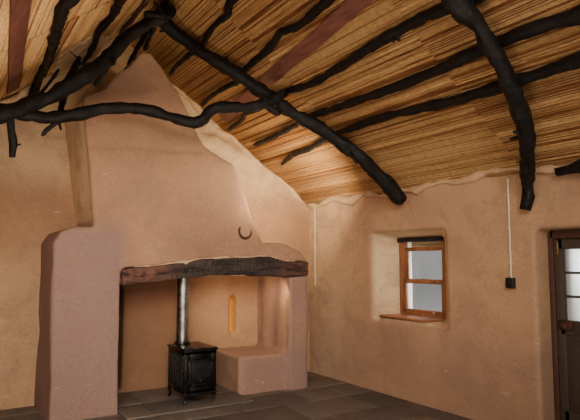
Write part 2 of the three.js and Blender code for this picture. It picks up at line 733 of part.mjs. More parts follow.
function stoveHinges(doorEdge, front) {
  const [x, y, r] = [STOVE_PIN_X, STOVE_PIN_Y, STOVE_PIN_RADIUS];
  const fixed = [];
  const moving = [];
  for (const z of STOVE_HINGES) {
    const split = z + STOVE_HINGE_HALF;
    const top = split + STOVE_HINGE_HALF;
    fixed.push(cylinder(r, STOVE_HINGE_HALF, 12, x, y, z));
    fixed.push(box(x - r, x + r - 1, y, front + 2, z, split));
    moving.push(cylinder(r, STOVE_HINGE_HALF - RUNNING_GAP, 12, x, y, split + RUNNING_GAP));
    moving.push(box(x, doorEdge + 2, y - 5, y + 5, split + RUNNING_GAP, top));
  }
  return { fixed: union(fixed), moving: union(moving) };
}

// Stove
function buildStove() {
  const x0 = STOVE_X - STOVE_WIDE / 2;
  const x1 = STOVE_X + STOVE_WIDE / 2;
  const y0 = STOVE_Y - STOVE_DEEP / 2;
  const y1 = STOVE_Y + STOVE_DEEP / 2;
  let body = box(x0 + 12, x1 - 12, y0 + 30, y1 - 12, STONE_TOP + STOVE_LEG, STOVE_TOP - STOVE_PLATE);
  const chamber = box(
    x0 + 12 + STOVE_WALL, x1 - 12 - STOVE_WALL, y0 + 30 + STOVE_WALL, y1 - 12 - STOVE_WALL,
    FIRE_LOW - 40, STOVE_TOP - STOVE_PLATE - 20,
  );
  const mouth = box(
    STOVE_X - FIRE_WIDE / 2 + 25, STOVE_X + FIRE_WIDE / 2 - 25, y0, y0 + 120, FIRE_LOW + 25, FIRE_HIGH - 25,
  );
  body = body.subtract(chamber).subtract(mouth);
  body = body.add(box(x0, x1, y0 + 10, y1, STOVE_TOP - STOVE_PLATE, STOVE_TOP));
  for (const x of [x0 + 14, x1 - 54]) {
    for (const y of [y0 + 32, y1 - 54]) {
      body = body.add(box(x, x + 40, y, y + 40, STONE_TOP, STONE_TOP + STOVE_LEG + 5));
    }
  }
  body = body.add(box(x0 + 40, x1 - 40, y0 - 60, y0 + 40, STONE_TOP + STOVE_LEG, STONE_TOP + STOVE_LEG + 22));
  const hinges = stoveHinges(STOVE_X - FIRE_WIDE / 2, y0 + 30);
  place('stove_body', body.add(hinges.fixed), 'castIron');
  const face = y0 + 30 - 6;
  const door = box(STOVE_X - FIRE_WIDE / 2, STOVE_X + FIRE_WIDE / 2, face - 22, face, FIRE_LOW, FIRE_HIGH);
  const stud = new THREE.CylinderGeometry(15, 15, 40, 14).translate(STOVE_X + 115, face - 22 - 18, 355);
  place('stove_door', door.add(solid(stud)).add(hinges.moving), 'castIron');
  place('flue_pipe', cylinder(PIPE_RADIUS, PIPE_LENGTH, 20, PIPE_X, PIPE_Y, STOVE_TOP), 'zinc');
}

// Small fixtures
function buildFixtures() {
  const shoe = outline(arc(95, 30, 330).concat(arc(66, 330, 30)));
  const g = new THREE.ExtrudeGeometry(shoe, { depth: 10, bevelEnabled: false });
  g.rotateX(Math.PI / 2);
  g.rotateY(0.5);
  g.translate(1190, BREAST_FRONT, 1945);
  place('horseshoe', solid(g), 'rustIron');
  place('switch_box', box(ROOM_HALF - 45, ROOM_HALF, -3480, -3395, 1325, 1425), 'blackPlastic');
  place('switch_conduit', box(ROOM_HALF - 16, ROOM_HALF, -3448, -3428, 1425, 2380), 'creamPaint');
}

function arc(radius, from, to) {
  const points = [];
  const steps = 12;
  for (let i = 0; i <= steps; i += 1) {
    const a = ((from + ((to - from) * i) / steps + 90) * Math.PI) / 180;
    points.push([Math.cos(a) * radius, Math.sin(a) * radius]);
  }
  return points;
}

const behind = behindGable();
const outside = outsideRoof(behind);
const ridge = member(RIDGE_ROUTE, RIDGE_POLE_RADIUS, RIDGE_POLE_RADIUS, 14, outside);
const walls = buildWalls();
buildHearth(behind, ridge);
const { core, stack, cap } = buildStack();
walls.gable = walls.gable.subtract(core);
place('gable_wall', walls.gable, 'plaster');
place('front_wall', walls.front, 'plaster');
place('front_wall_over_door', walls.over, 'plaster');
place('front_wall_end', walls.end, 'plaster');
place('back_wall', walls.back, 'plaster');
buildRoof(core, stack, cap);
buildTrusses(walls, outside, buildPurlins(behind, outside, ridge));
buildWindow();
buildDoor();
buildStove();
buildFixtures();

const CENTRE_Y = (NEAR_END + VERGE) / 2;
cottage.position.set(0, -CENTRE_Y, FLOOR_THICK);
cottage.updateMatrixWorld(true);

export default cottage;
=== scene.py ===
import math
import random

import bmesh
import bpy
from bpy.props import FloatProperty, FloatVectorProperty, PointerProperty
from mathutils import Matrix, Vector, noise


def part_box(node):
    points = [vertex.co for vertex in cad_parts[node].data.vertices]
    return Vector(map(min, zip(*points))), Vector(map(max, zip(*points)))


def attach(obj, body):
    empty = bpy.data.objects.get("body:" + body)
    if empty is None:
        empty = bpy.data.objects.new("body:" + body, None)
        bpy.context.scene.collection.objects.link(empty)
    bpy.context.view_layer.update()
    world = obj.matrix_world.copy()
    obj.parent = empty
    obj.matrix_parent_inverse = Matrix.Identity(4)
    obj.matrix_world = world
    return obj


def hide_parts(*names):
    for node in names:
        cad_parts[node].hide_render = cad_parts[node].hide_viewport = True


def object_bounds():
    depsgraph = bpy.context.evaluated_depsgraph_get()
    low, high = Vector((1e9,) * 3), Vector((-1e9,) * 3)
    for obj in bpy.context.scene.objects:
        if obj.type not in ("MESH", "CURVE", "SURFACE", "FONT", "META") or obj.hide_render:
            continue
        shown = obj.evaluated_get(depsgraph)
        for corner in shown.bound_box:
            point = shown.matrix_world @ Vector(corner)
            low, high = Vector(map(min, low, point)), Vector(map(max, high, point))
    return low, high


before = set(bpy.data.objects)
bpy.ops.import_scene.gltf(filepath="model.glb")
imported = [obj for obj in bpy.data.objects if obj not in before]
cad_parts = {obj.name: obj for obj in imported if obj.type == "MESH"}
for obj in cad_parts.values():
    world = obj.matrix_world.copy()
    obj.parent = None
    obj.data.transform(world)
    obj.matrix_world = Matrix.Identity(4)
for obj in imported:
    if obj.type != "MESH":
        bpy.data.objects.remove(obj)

bl_info = {
    "name": "Thatched cottage hearth end",
    "version": (1, 0, 0),
    "blender": (4, 5, 0),
    "location": "3D View > Sidebar > Cottage",
    "description": "Plaster, poles, reed, thatch, hearth, window and door of the cottage end",
    "category": "Object",
}

CAD_BOX = [list(corner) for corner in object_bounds()]

# The building's own axes: x across the ridge, y along it with the gable at 0, z from the floor's top.
SHIFT = Vector((0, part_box("floor")[1].y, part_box("floor")[1].z))
ROOM_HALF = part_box("floor")[1].x
NEAR_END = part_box("floor")[0].y - SHIFT.y
WALL_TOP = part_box("back_wall")[1].z - SHIFT.z
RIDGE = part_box("gable_wall")[1].z - SHIFT.z
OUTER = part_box("gable_wall")[1].x
GABLE_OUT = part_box("gable_wall")[1].y - SHIFT.y
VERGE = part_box("reed_mat_right")[1].y - SHIFT.y
SLOPE = (RIDGE - WALL_TOP) / ROOM_HALF
TILT = math.hypot(1, SLOPE)
LEAN_FOOT, LEAN = 2.0, 0.168
EAVES = 3.65
CRISP_ANGLE = math.radians(40)
DOOR_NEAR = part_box("door_frame")[0].y - SHIFT.y
DOOR_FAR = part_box("door_frame")[1].y - SHIFT.y
MM = 0.001


def at(x, y, z):
    """A point of the building, in metres, in the frame's axes."""
    return Vector((x, y, z)) + SHIFT


def along(y):
    """A way along the ridge."""
    return Vector((0, y, 0))


def under_mat(x, below=0.0):
    """Height of the reed's underside at x, lowered square to the slope."""
    return RIDGE - SLOPE * abs(x) - below * TILT


def rgb(red, green, blue):
    """A screen colour from 0 to 255 as the linear one that shaders take."""
    def linear(value):
        value /= 255
        return value / 12.92 if value <= 0.04045 else ((value + 0.055) / 1.055) ** 2.4
    return (linear(red), linear(green), linear(blue), 1.0)


# ---- shapes

def ease_edges(bm, edges, ease, segments=2):
    """Rounds the given edges."""
    bmesh.ops.bevel(bm, geom=list(edges), offset=ease, offset_type="OFFSET", segments=segments,
                    profile=0.5, affect="EDGES", material=-1)


def block(bm, low, high, ease=0.0, segments=2, turn=None):
    """A block between two corners, its edges eased."""
    low, high = Vector(low), Vector(high)
    place = Matrix.Translation((low + high) / 2) @ Matrix.Diagonal((*(high - low), 1))
    made = bmesh.ops.create_cube(bm, size=1.0, matrix=place)["verts"]
    if turn:
        bmesh.ops.transform(bm, matrix=turn, verts=made)
    if ease:
        ease_edges(bm, {e for v in made for e in v.link_edges}, ease, segments)


def rod(bm, start, end, radius, sides, tip=None, ease=0.0):
    """A round bar between two points, its rims eased."""
    start, end = Vector(start), Vector(end)
    axis = end - start
    place = Matrix.Translation((start + end) / 2) @ axis.to_track_quat("Z", "Y").to_matrix().to_4x4()
    made = bmesh.ops.create_cone(bm, cap_ends=True, cap_tris=False, segments=sides, radius1=radius,
                                 radius2=radius if tip is None else tip, depth=axis.length, matrix=place)
    if ease:
        edges = {e for v in made["verts"] for e in v.link_edges}
        ease_edges(bm, (e for e in edges if any(len(f.verts) > 4 for f in e.link_faces)), ease)


def smooth_route(points, step):
    """Points evenly spaced along a soft curve through the given ones."""
    points = [Vector(p) for p in points]
    ends = [points[0] * 2 - points[1]] + points + [points[-1] * 2 - points[-2]]
    dense, parts = [], 24
    for a, b, c, d in zip(ends, ends[1:], ends[2:], ends[3:]):
        for t in (k / parts for k in range(parts)):
            dense.append(0.5 * ((2 * b) + (c - a) * t + (2 * a - 5 * b + 4 * c - d) * t * t
                                + (3 * b - a - 3 * c + d) * t ** 3))
    dense.append(points[-1])
    even, left = [dense[0]], step
    for a, b in zip(dense, dense[1:]):
        length = (b - a).length
        while length >= left:
            a = a.lerp(b, left / length)
            even.append(a)
            length = (b - a).length
            left = step
        left -= length
    if (even[-1] - dense[-1]).length > step * 0.3:
        even.append(dense[-1])
    return even


def places_along(points):
    """A matrix at each point of a route, z ahead, turned as little as possible."""
    places, turn, before = [], None, None
    for i, point in enumerate(points):
        ahead = (points[min(i + 1, len(points) - 1)] - points[max(i - 1, 0)]).normalized()
        turn = ahead.to_track_quat("Z", "Y") if before is None else before.rotation_difference(ahead) @ turn
        before = ahead
        places.append(Matrix.Translation(point) @ turn.to_matrix().to_4x4())
    return places


def sweep(bm, points, radii, sides):
    """A round bar drawn along a route ring by ring, with rounded ends."""
    places = places_along(points)
    sizes = [Matrix.Scale(max(r, 1e-4), 4) for r in radii]
    ring = bmesh.ops.create_circle(bm, cap_ends=True, segments=sides, radius=1.0, matrix=places[0] @ sizes[0])
    edges = list({e for v in ring["verts"] for e in v.link_edges})
    for k in range(1, len(points)):
        grown = bmesh.ops.extrude_edge_only(bm, edges=edges)["geom"]
        verts = {g for g in grown if isinstance(g, bmesh.types.BMVert)}
        edges = [g for g in grown if isinstance(g, bmesh.types.BMEdge) and set(g.verts) <= verts]
        before = (places[k - 1] @ sizes[k - 1]).inverted()
        bmesh.ops.transform(bm, matrix=places[k] @ sizes[k] @ before, verts=list(verts))
    bmesh.ops.contextual_create(bm, geom=edges)


def merged_copy(*nodes):
    """The solids of CAD nodes in one bmesh, their corners joined."""
    bm = bmesh.new()
    for node in nodes:
        bm.from_mesh(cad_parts[node].data)
    bmesh.ops.remove_doubles(bm, verts=bm.verts, dist=1e-5)
    return bm


def reach_into(bm, axis, value, move):
    """Moves the corners that lie on one plane, so that a body reaches into what it meets."""
    for v in bm.verts:
        if abs(v.co[axis] - value) < 2e-3:
            v.co[axis] += move


def placed(name, data):
    """A new object in the scene."""
    made = bpy.data.objects.new(name, data)
    bpy.context.scene.collection.objects.link(made)
    return made


def mesh_of(name, bm):
    """The mesh of a bmesh, which is freed."""
    mesh = bpy.data.meshes.new(name)
    bm.to_mesh(mesh)
    bm.free()
    return mesh


def skinned(bm, voxel):
    """The solids as one even skin with soft edges."""
    mesh = mesh_of("skin", bm)
    holder = placed("skin", mesh)
    remesh = holder.modifiers.new("Remesh", "REMESH")
    remesh.mode = "VOXEL"
    remesh.voxel_size = voxel
    skin = bmesh.new()
    skin.from_object(holder, bpy.context.evaluated_depsgraph_get())
    bpy.data.objects.remove(holder)
    bpy.data.meshes.remove(mesh)
    bmesh.ops.smooth_vert(skin, verts=skin.verts, factor=0.5, use_axis_x=True, use_axis_y=True,
                          use_axis_z=True)
    return skin


def along_normals(bm, height, verts=None):
    """Moves corners, all or the given ones, along their normals by what height says of their places."""
    bm.normal_update()
    verts = verts or bm.verts
    moves = [v.normal * height(v.co) for v in verts]
    for v, move in zip(verts, moves):
        v.co += move


def undulate(bm, waves, seed, calm=None):
    """Moves a skin along its normals by soft noise; waves are (size of the lumps, height) pairs."""
    away = Vector((seed * 3.7, seed * 1.3, seed * 5.1))

    def height(place):
        lumps = sum(high * noise.noise(place / size + away) for size, high in waves)
        return lumps * (calm(place - SHIFT) if calm else 1.0)

    along_normals(bm, height)


def keep_within(bm, low, high):
    """Brings every corner inside a box."""
    for v in bm.verts:
        for k in range(3):
            v.co[k] = min(max(v.co[k], low[k]), high[k])


def float_layer(bm, name):
    """The layer that holds one number for each corner."""
    return bm.verts.layers.float.get(name) or bm.verts.layers.float.new(name)


def shade(bm, **looks):
    """Stores numbers for the material to read, fixed or by a corner's place in the building."""
    for name, value in looks.items():
        layer = float_layer(bm, name)
        for v in bm.verts:
            v[layer] = value(v.co - SHIFT) if callable(value) else value


def second_finish(bm, test):
    """Gives the second finish to the faces that pass the test, by their middle and their normal."""
    bm.normal_update()
    for face in bm.faces:
        face.material_index = int(test(face.calc_center_median() - SHIFT, face.normal))


def join(bm, other):
    """Adds another bmesh to the first one."""
    mesh = mesh_of("part", other)
    bm.from_mesh(mesh)
    bpy.data.meshes.remove(mesh)


def piece(name, bm, looks, slot, *nodes, body="house", smooth=True, crisp=False):
    """Makes the object with its finishes and its body, and hides the CAD nodes that it stands for.

    A crisp piece keeps its steeper edges sharp.
    """
    for face in bm.faces:
        face.smooth = smooth
    if crisp:
        bm.normal_update()
        for edge in bm.edges:
            edge.smooth = len(edge.link_faces) == 2 and edge.calc_face_angle(0) < CRISP_ANGLE
    made = placed(name, mesh_of(name, bm))
    for look in looks.split():
        made.data.materials.append(finish(look))
    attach(made, body)
    if nodes:
        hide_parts(*nodes)


def blocks(bm, *rows):
    """Blocks in building metres: the spans in x, y and z, the ease and its segments."""
    for x0, x1, y0, y1, z0, z1, *ease in rows:
        block(bm, at(x0, y0, z0), at(x1, y1, z1), *ease)


def bars(bm, *rows):
    """Round bars in building metres: x, y and z, of which one is a (start, end) pair, radius, sides, ease."""
    for x, y, z, radius, sides, *ease in rows:
        start, end = (at(*(c[k] if isinstance(c, tuple) else c for c in (x, y, z))) for k in (0, 1))
        rod(bm, start, end, radius, sides, ease=ease[0] if ease else 0.0)


def node_span(node):
    """The box of a CAD node in building metres."""
    low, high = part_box(node)
    return low - SHIFT, high - SHIFT


# ---- finishes

class Finish:
    """One procedural material. Its methods add nodes and return sockets; its place is the object's own."""

    def __init__(self, name, roughness=0.85, metallic=0.0):
        self.material = bpy.data.materials.new(name)
        self.material.use_nodes = True
        self.tree = self.material.node_tree
        self.shader = self.tree.nodes["Principled BSDF"]
        self.place = self.tree.nodes.new("ShaderNodeTexCoord").outputs["Object"]
        self.set("Roughness", roughness)
        self.set("Metallic", metallic)

    def feed(self, socket, value):
        if isinstance(value, bpy.types.NodeSocket):
            self.tree.links.new(value, socket)
        else:
            socket.default_value = value

    def set(self, name, value):
        self.feed(self.shader.inputs[name], value)

    def node(self, kind, **inputs):
        made = self.tree.nodes.new("ShaderNode" + kind)
        for name, value in inputs.items():
            self.feed(made.inputs[name], value)
        return made

    def stretched(self, scale):
        return self.node("Mapping", Vector=self.place, Scale=scale).outputs["Vector"] if scale else self.place

    def noise(self, scale, detail=3.0, stretch=None, rough=0.55, twist=0.0):
        made = self.node("TexNoise", Vector=self.stretched(stretch), Scale=scale, Detail=detail,
                         Roughness=rough, Distortion=twist)
        return made.outputs[0]

    def cells(self, scale, feature, stretch=None):
        made = self.node("TexVoronoi")
        made.feature = feature
        self.feed(made.inputs["Vector"], self.stretched(stretch))
        self.feed(made.inputs["Scale"], scale)
        return made.outputs["Distance"]

    def ramp(self, value, *stops):
        made = self.tree.nodes.new("ShaderNodeValToRGB")
        band = made.color_ramp
        while len(band.elements) < len(stops):
            band.elements.new(1.0)
        for element, (where, colour) in zip(band.elements, stops):
            element.position = where
            element.color = colour if isinstance(colour, tuple) else grey(colour)
        self.feed(made.inputs["Fac"], value)
        return made.outputs["Color"]

    def mix(self, factor, a, b, mode="MIX"):
        made = self.tree.nodes.new("ShaderNodeMix")
        made.data_type = "RGBA"
        made.blend_type = mode
        for socket, value in ((0, factor), (6, a), (7, b)):
            self.feed(made.inputs[socket], value)
        return made.outputs[2]

    def maths(self, operation, a, b=0.0):
        made = self.tree.nodes.new("ShaderNodeMath")
        made.operation = operation
        self.feed(made.inputs[0], a)
        self.feed(made.inputs[1], b)
        return made.outputs[0]

    def times(self, a, b):
        return self.maths("MULTIPLY", a, b)

    def step(self, value, low, high):
        """0 where the value is below low, 1 above high, even between."""
        return self.ramp(value, (low, 0.0), (high, 1.0))

    def patches(self, low, high, *scale, **more):
        """Soft-edged patches, where the noise is above low."""
        return self.step(self.noise(*scale, **more), low, high)

    def clouded(self, colour, low, high, *scale, **more):
        """A colour made darker and lighter by noise; low and high are (noise, brightness) pairs."""
        return self.mix(1.0, colour, self.ramp(self.noise(*scale, **more), low, high), "MULTIPLY")

    def over(self, base, colour, where, share):
        """A colour laid over the base, by share, where the patches are."""
        return self.mix(self.times(where, share), base, colour)

    def number(self, name):
        """A number that shade() stored at the corners."""
        made = self.tree.nodes.new("ShaderNodeAttribute")
        made.attribute_name = name
        return made.outputs["Fac"]

    def along(self, axis):
        """The coordinate along one axis of the frame, in metres."""
        split = self.node("SeparateXYZ", Vector=self.place)
        return split.outputs["XYZ".index(axis)]

    def bump(self, height, distance, strength, under=None):
        made = self.node("Bump", Strength=strength, Distance=distance, Height=height)
        if under is not None:
            self.feed(made.inputs["Normal"], under)
        return made.outputs["Normal"]

    def done(self, colour, normal=None, roughness=None):
        self.set("Base Color", colour)
        if normal is not None:
            self.set("Normal", normal)
        if roughness is not None:
            self.set("Roughness", roughness)
        return self.material


def grey(value):
    """A grey as a linear colour."""
    return (value, value, value, 1.0)


def lighter(colour, times):
    """A colour made so many times lighter, or darker below 1."""
    return tuple(c * times for c in colour[:3]) + (1.0,)


def chosen(name):
    """One of the colours that the user may change."""
    return lighter(getattr(bpy.context.scene.cottage, name), 1.0)


def plaster_finish():
    """Old limewashed plaster: warm beige, lilac-grey where it is worn, sooty in the hood."""
    f = Finish("old_plaster", 0.93)
    warm = chosen("plaster")
    broad = f.noise(0.9, 5.0, rough=0.6, twist=0.4)
    base = f.mix(f.step(broad, 0.35, 0.68), warm, rgb(152, 112, 82))
    # The cream number is mostly painted light: lamplight on the upper gable, the breast's flank and the wall
    # beside the gable, and light in the window's splays.
    cream = f.mix(f.number("cream"), base, rgb(226, 192, 148))
    # The lilac number is painted shade on the jamb, and a greyer tone on the pier, the bench and the foot of
    # the walls.
    lilac = f.mix(f.number("lilac"), cream, rgb(140, 110, 100))
    blotch = f.patches(0.47, 0.62, 2.3, 6.0, rough=0.7, twist=0.7)
    worn = f.over(lilac, rgb(138, 106, 92), blotch, 0.38)
    pale = f.patches(0.63, 0.74, 5.5, 5.0, stretch=(1, 1, 2.6), rough=0.7)
    chalky = f.over(worn, rgb(222, 194, 162), pale, 0.42)
    vein = f.noise(1.4, 6.0, rough=0.6, twist=1.2)
    crack = f.ramp(vein, (0.492, 0.0), (0.5, 1.0), (0.508, 0.0))
    where = f.patches(0.58, 0.66, 1.7, 2.0)
    lines = f.times(crack, where)
    lined = f.over(chalky, rgb(112, 90, 76), lines, 0.35)
    grain = f.clouded(lined, (0.3, 0.82), (0.7, 1.06), 60.0, 2.0)
    # Painted glow: warm ochre light painted into the slit at the back of the hearth.
    painted_glow_mix = f.mix(f.number("ochre"), grain, rgb(222, 158, 62))
    # A darker brown on the back of the hearth.
    darkened = f.mix(f.number("smoke"), painted_glow_mix, rgb(104, 66, 44))
    sooty = f.mix(f.number("soot"), darkened, rgb(52, 40, 33))
    trowel = f.bump(f.noise(7.0, 4.0, stretch=(1, 1, 1.7)), 0.012, 0.6)
    sandy = f.bump(f.noise(95.0, 3.0), 0.0016, 0.5, trowel)
    cut = f.bump(lines, -0.004, 0.7, sandy)
    return f.done(sooty, cut)


def limewash_finish():
    """Outside limewash: chalky white with rain streaks and a damp foot."""
    f = Finish("limewash", 0.95)
    white = chosen("limewash")
    rain = f.patches(0.45, 0.75, 3.0, 5.0, stretch=(1.6, 1.6, 0.22), rough=0.65)
    base = f.over(white, rgb(176, 168, 150), rain, 0.45)
    foot = f.ramp(f.along("Z"), (0.0, 1.0), (0.55, 0.0))
    patchy = f.times(foot, f.ramp(f.noise(4.0, 4.0), (0.3, 0.2), (0.6, 1.0)))
    damp = f.over(base, rgb(120, 118, 96), patchy, 0.6)
    stones = f.bump(f.cells(2.6, "SMOOTH_F1", (1, 1, 1.5)), -0.03, 0.35)
    skin = f.bump(f.noise(16.0, 5.0), 0.01, 0.5, stones)
    return f.done(damp, f.bump(f.noise(110.0, 2.0), 0.0015, 0.4, skin))


def stone_finish(name, light, dark):
    """Worn flagstone; each stone has its own tone."""
    f = Finish(name, 0.72)
    stone = f.clouded(f.mix(f.number("tone"), light, dark), (0.35, 0.78), (0.7, 1.12), 3.2, 6.0, rough=0.65)
    worn = f.clouded(stone, (0.35, 0.8), (0.65, 1.1), 150.0, 2.0)
    pits = f.bump(f.noise(22.0, 5.0, rough=0.7), 0.006, 0.55)
    rough = f.ramp(f.noise(4.0, 3.0), (0.3, 0.55), (0.7, 0.85))
    return f.done(worn, f.bump(f.noise(120.0, 3.0), 0.001, 0.5, pits), rough)


def pole_finish(name, dark, light, gloss=0.5):
    """Crooked poles, bark off and blackened, with fibres that run along them."""
    f = Finish(name, gloss)
    f.set("Specular IOR Level", 0.28)
    broad = f.patches(0.38, 0.7, 5.0, 5.0, rough=0.65)
    fibre = f.noise(24.0, 5.0, stretch=(1.0, 0.22, 1.0), rough=0.7)
    base = f.over(dark, light, broad, 0.7)
    tone = f.mix(f.step(fibre, 0.42, 0.6), base, dark)
    scuff = f.patches(0.58, 0.7, 11.0, 6.0, stretch=(1.0, 0.35, 1.0), rough=0.75)
    tone = f.over(tone, lighter(light, 2.1), scuff, 0.45)
    ridges = f.bump(fibre, 0.014, 0.9)
    bark = f.bump(f.noise(48.0, 5.0, rough=0.7), 0.006, 0.8, ridges)
    rough = f.ramp(f.noise(18.0, 3.0), (0.3, gloss - 0.12), (0.7, gloss + 0.2))
    return f.done(tone, bark, rough)


def board_finish(name, light, dark, grain=(6.0, 0.5, 6.0), gloss=0.6):
    """Sawn or planed wood, its grain along the y axis unless told otherwise."""
    f = Finish(name, gloss)
    rings = f.noise(5.0, 6.0, stretch=grain, rough=0.7, twist=0.6)
    base = f.mix(f.step(rings, 0.35, 0.65), light, dark)
    return f.done(f.clouded(base, (0.3, 0.8), (0.7, 1.15), 1.6, 3.0), f.bump(rings, 0.003, 0.5))


def reed_finish():
    """Reed lining: golden to purple-brown stems bound with thread, weathered outside the walls."""
    f = Finish("reed_lining", 0.55)
    gold = chosen("reed")
    patch = f.noise(0.85, 4.0, stretch=(1.2, 0.5, 1.2), rough=0.6)
    stalk = f.noise(9.0, 4.0, stretch=(9.0, 0.3, 9.0))
    tone = f.maths("ADD", f.number("tone"), f.maths("MULTIPLY_ADD", patch, 0.9))
    mixed = f.maths("ADD", f.maths("SUBTRACT", tone, 0.48), f.maths("SUBTRACT", stalk, 0.5))
    # The darkest stop colours the near-black reeds, painted shade between the reeds.
    colour = f.ramp(mixed, (0.0, rgb(52, 27, 20)), (0.25, rgb(104, 60, 36)), (0.5, rgb(156, 98, 54)),
                    (0.72, gold), (0.95, rgb(228, 184, 124)))
    jointed = f.clouded(colour, (0.42, 0.75), (0.55, 1.0), 30.0, 2.0, stretch=(3.0, 0.5, 3.0))
    row = f.maths("FRACT", f.times(f.along("Y"), 1 / bpy.context.scene.cottage.stitch_gap))
    thread = f.ramp(row, (0.0, 1.0), (0.03, 0.0), (0.97, 0.0), (1.0, 1.0))
    stem = f.over(jointed, rgb(84, 50, 32), thread, 0.5)
    beyond_side = f.maths("GREATER_THAN", f.maths("ABSOLUTE", f.along("X")), OUTER - 0.02)
    beyond_gable = f.maths("GREATER_THAN", f.along("Y"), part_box("gable_wall")[1].y - 0.02)
    weathered = f.times(f.maths("MAXIMUM", beyond_side, beyond_gable), 0.8)
    stem = f.mix(weathered, stem, rgb(134, 114, 82))
    fibre = f.bump(f.noise(160.0, 2.0, stretch=(1.0, 0.05, 1.0)), 0.0012, 0.5)
    return f.done(stem, fibre)


def thatch_finish(name, lift=1.0):
    """Weathered reed thatch: fine stems down the slope, grey above and golden where it is combed."""
    f = Finish(name, 0.9)
    straw = lighter(chosen("thatch"), lift)
    stems = f.noise(14.0, 5.0, stretch=(0.35, 4.5, 0.35), rough=0.75)
    patch = f.patches(0.35, 0.7, 0.7, 4.0, rough=0.6)
    base = f.mix(patch, straw, rgb(128, 116, 92))
    lined = f.mix(f.step(stems, 0.4, 0.62), rgb(74, 60, 42), base)
    moss = f.patches(0.6, 0.72, 1.9, 5.0, rough=0.7)
    green = f.over(lined, rgb(96, 100, 62), moss, 0.3)
    broad = f.bump(f.noise(3.0, 5.0, stretch=(0.6, 1.6, 0.6)), 0.05, 0.6)
    return f.done(green, f.bump(stems, 0.02, 0.9, broad))


def cut_thatch_finish():
    """The cut ends of the reed, seen at the open end and under the verge."""
    f = Finish("thatch_cut_ends", 0.9)
    ends = f.cells(55.0, "F1")
    dots = f.ramp(ends, (0.0, rgb(196, 168, 112)), (0.45, rgb(150, 122, 78)), (0.75, rgb(58, 44, 28)))
    return f.done(f.clouded(dots, (0.3, 0.75), (0.7, 1.1), 6.0, 3.0), f.bump(ends, -0.02, 0.9))


def log_finish():
    """Hewn log: slate-brown adze strokes with redder, rubbed ends."""
    f = Finish("hewn_log", 0.82)
    stroke = f.noise(26.0, 4.0, stretch=(2.6, 1.0, 0.35), rough=0.75, twist=0.3)
    dark = f.mix(f.step(stroke, 0.38, 0.66), rgb(22, 17, 15), rgb(78, 61, 53))
    left = f.ramp(f.along("X"), (0.05, 1.0), (0.42, 0.0))
    right = f.ramp(f.maths("SUBTRACT", f.along("X"), 1.3), (0.25, 0.0), (0.62, 1.0))
    ends = f.maths("MAXIMUM", left, right)
    red = f.mix(f.patches(0.35, 0.65, 12.0, 5.0), rgb(74, 44, 34), rgb(122, 80, 62))
    tone = f.over(dark, red, ends, 0.8)
    split = f.noise(3.0, 5.0, stretch=(0.5, 2.0, 4.5), rough=0.6, twist=0.4)
    crack = f.ramp(split, (0.47, 0.0), (0.5, 1.0), (0.53, 0.0))
    lined = f.over(tone, rgb(22, 16, 13), crack, 0.7)
    hair = f.bump(stroke, 0.014, 0.9)
    return f.done(lined, f.bump(crack, -0.012, 0.8, hair))


def painted_finish(name, colour, worn, gloss=0.45):
    """Old oil paint over wood, rubbed thin at its edges."""
    f = Finish(name, gloss)
    rub = f.patches(0.52, 0.7, 7.0, 6.0, rough=0.72)
    tone = f.over(colour, worn, rub, 0.5)
    brush = f.noise(40.0, 3.0, stretch=(1.0, 1.0, 0.08))
    return f.done(tone, f.bump(brush, 0.0012, 0.5), f.ramp(brush, (0.3, gloss - 0.1), (0.7, gloss + 0.15)))


def door_finish():
    """The door's paint in the colour that the user chose."""
    return painted_finish("door_paint", chosen("door"), rgb(104, 88, 74))


def metal_finish(name, dark, light, roughness, metallic=1.0, grain=60.0, depth=0.0012, spread=0.15):
    """Cast, rusted or zinc-coated metal, by its colours and grain."""
    f = Finish(name, roughness, metallic)
    cloud = f.patches(0.38, 0.66, 9.0, 5.0, rough=0.7)
    tone = f.mix(cloud, dark, light)
    rough = f.ramp(f.noise(14.0, 4.0), (0.3, max(roughness - spread, 0.05)), (0.7, roughness + spread))
    return f.done(tone, f.bump(f.noise(grain, 4.0), depth, 0.6), rough)


def glass_finish(name, tint, roughness, ripple):
    """Clear or frosted glass, faintly rippled."""
    f = Finish(name, roughness)
    f.set("Transmission Weight", 1.0)
    f.set("IOR", 1.45)
    wave = f.noise(ripple, 2.0)
    colour = f.mix(f.patches(0.4, 0.7, 3.0, 3.0), tint, lighter(tint, 0.94))
    return f.done(colour, f.bump(wave, 0.001, 0.35))


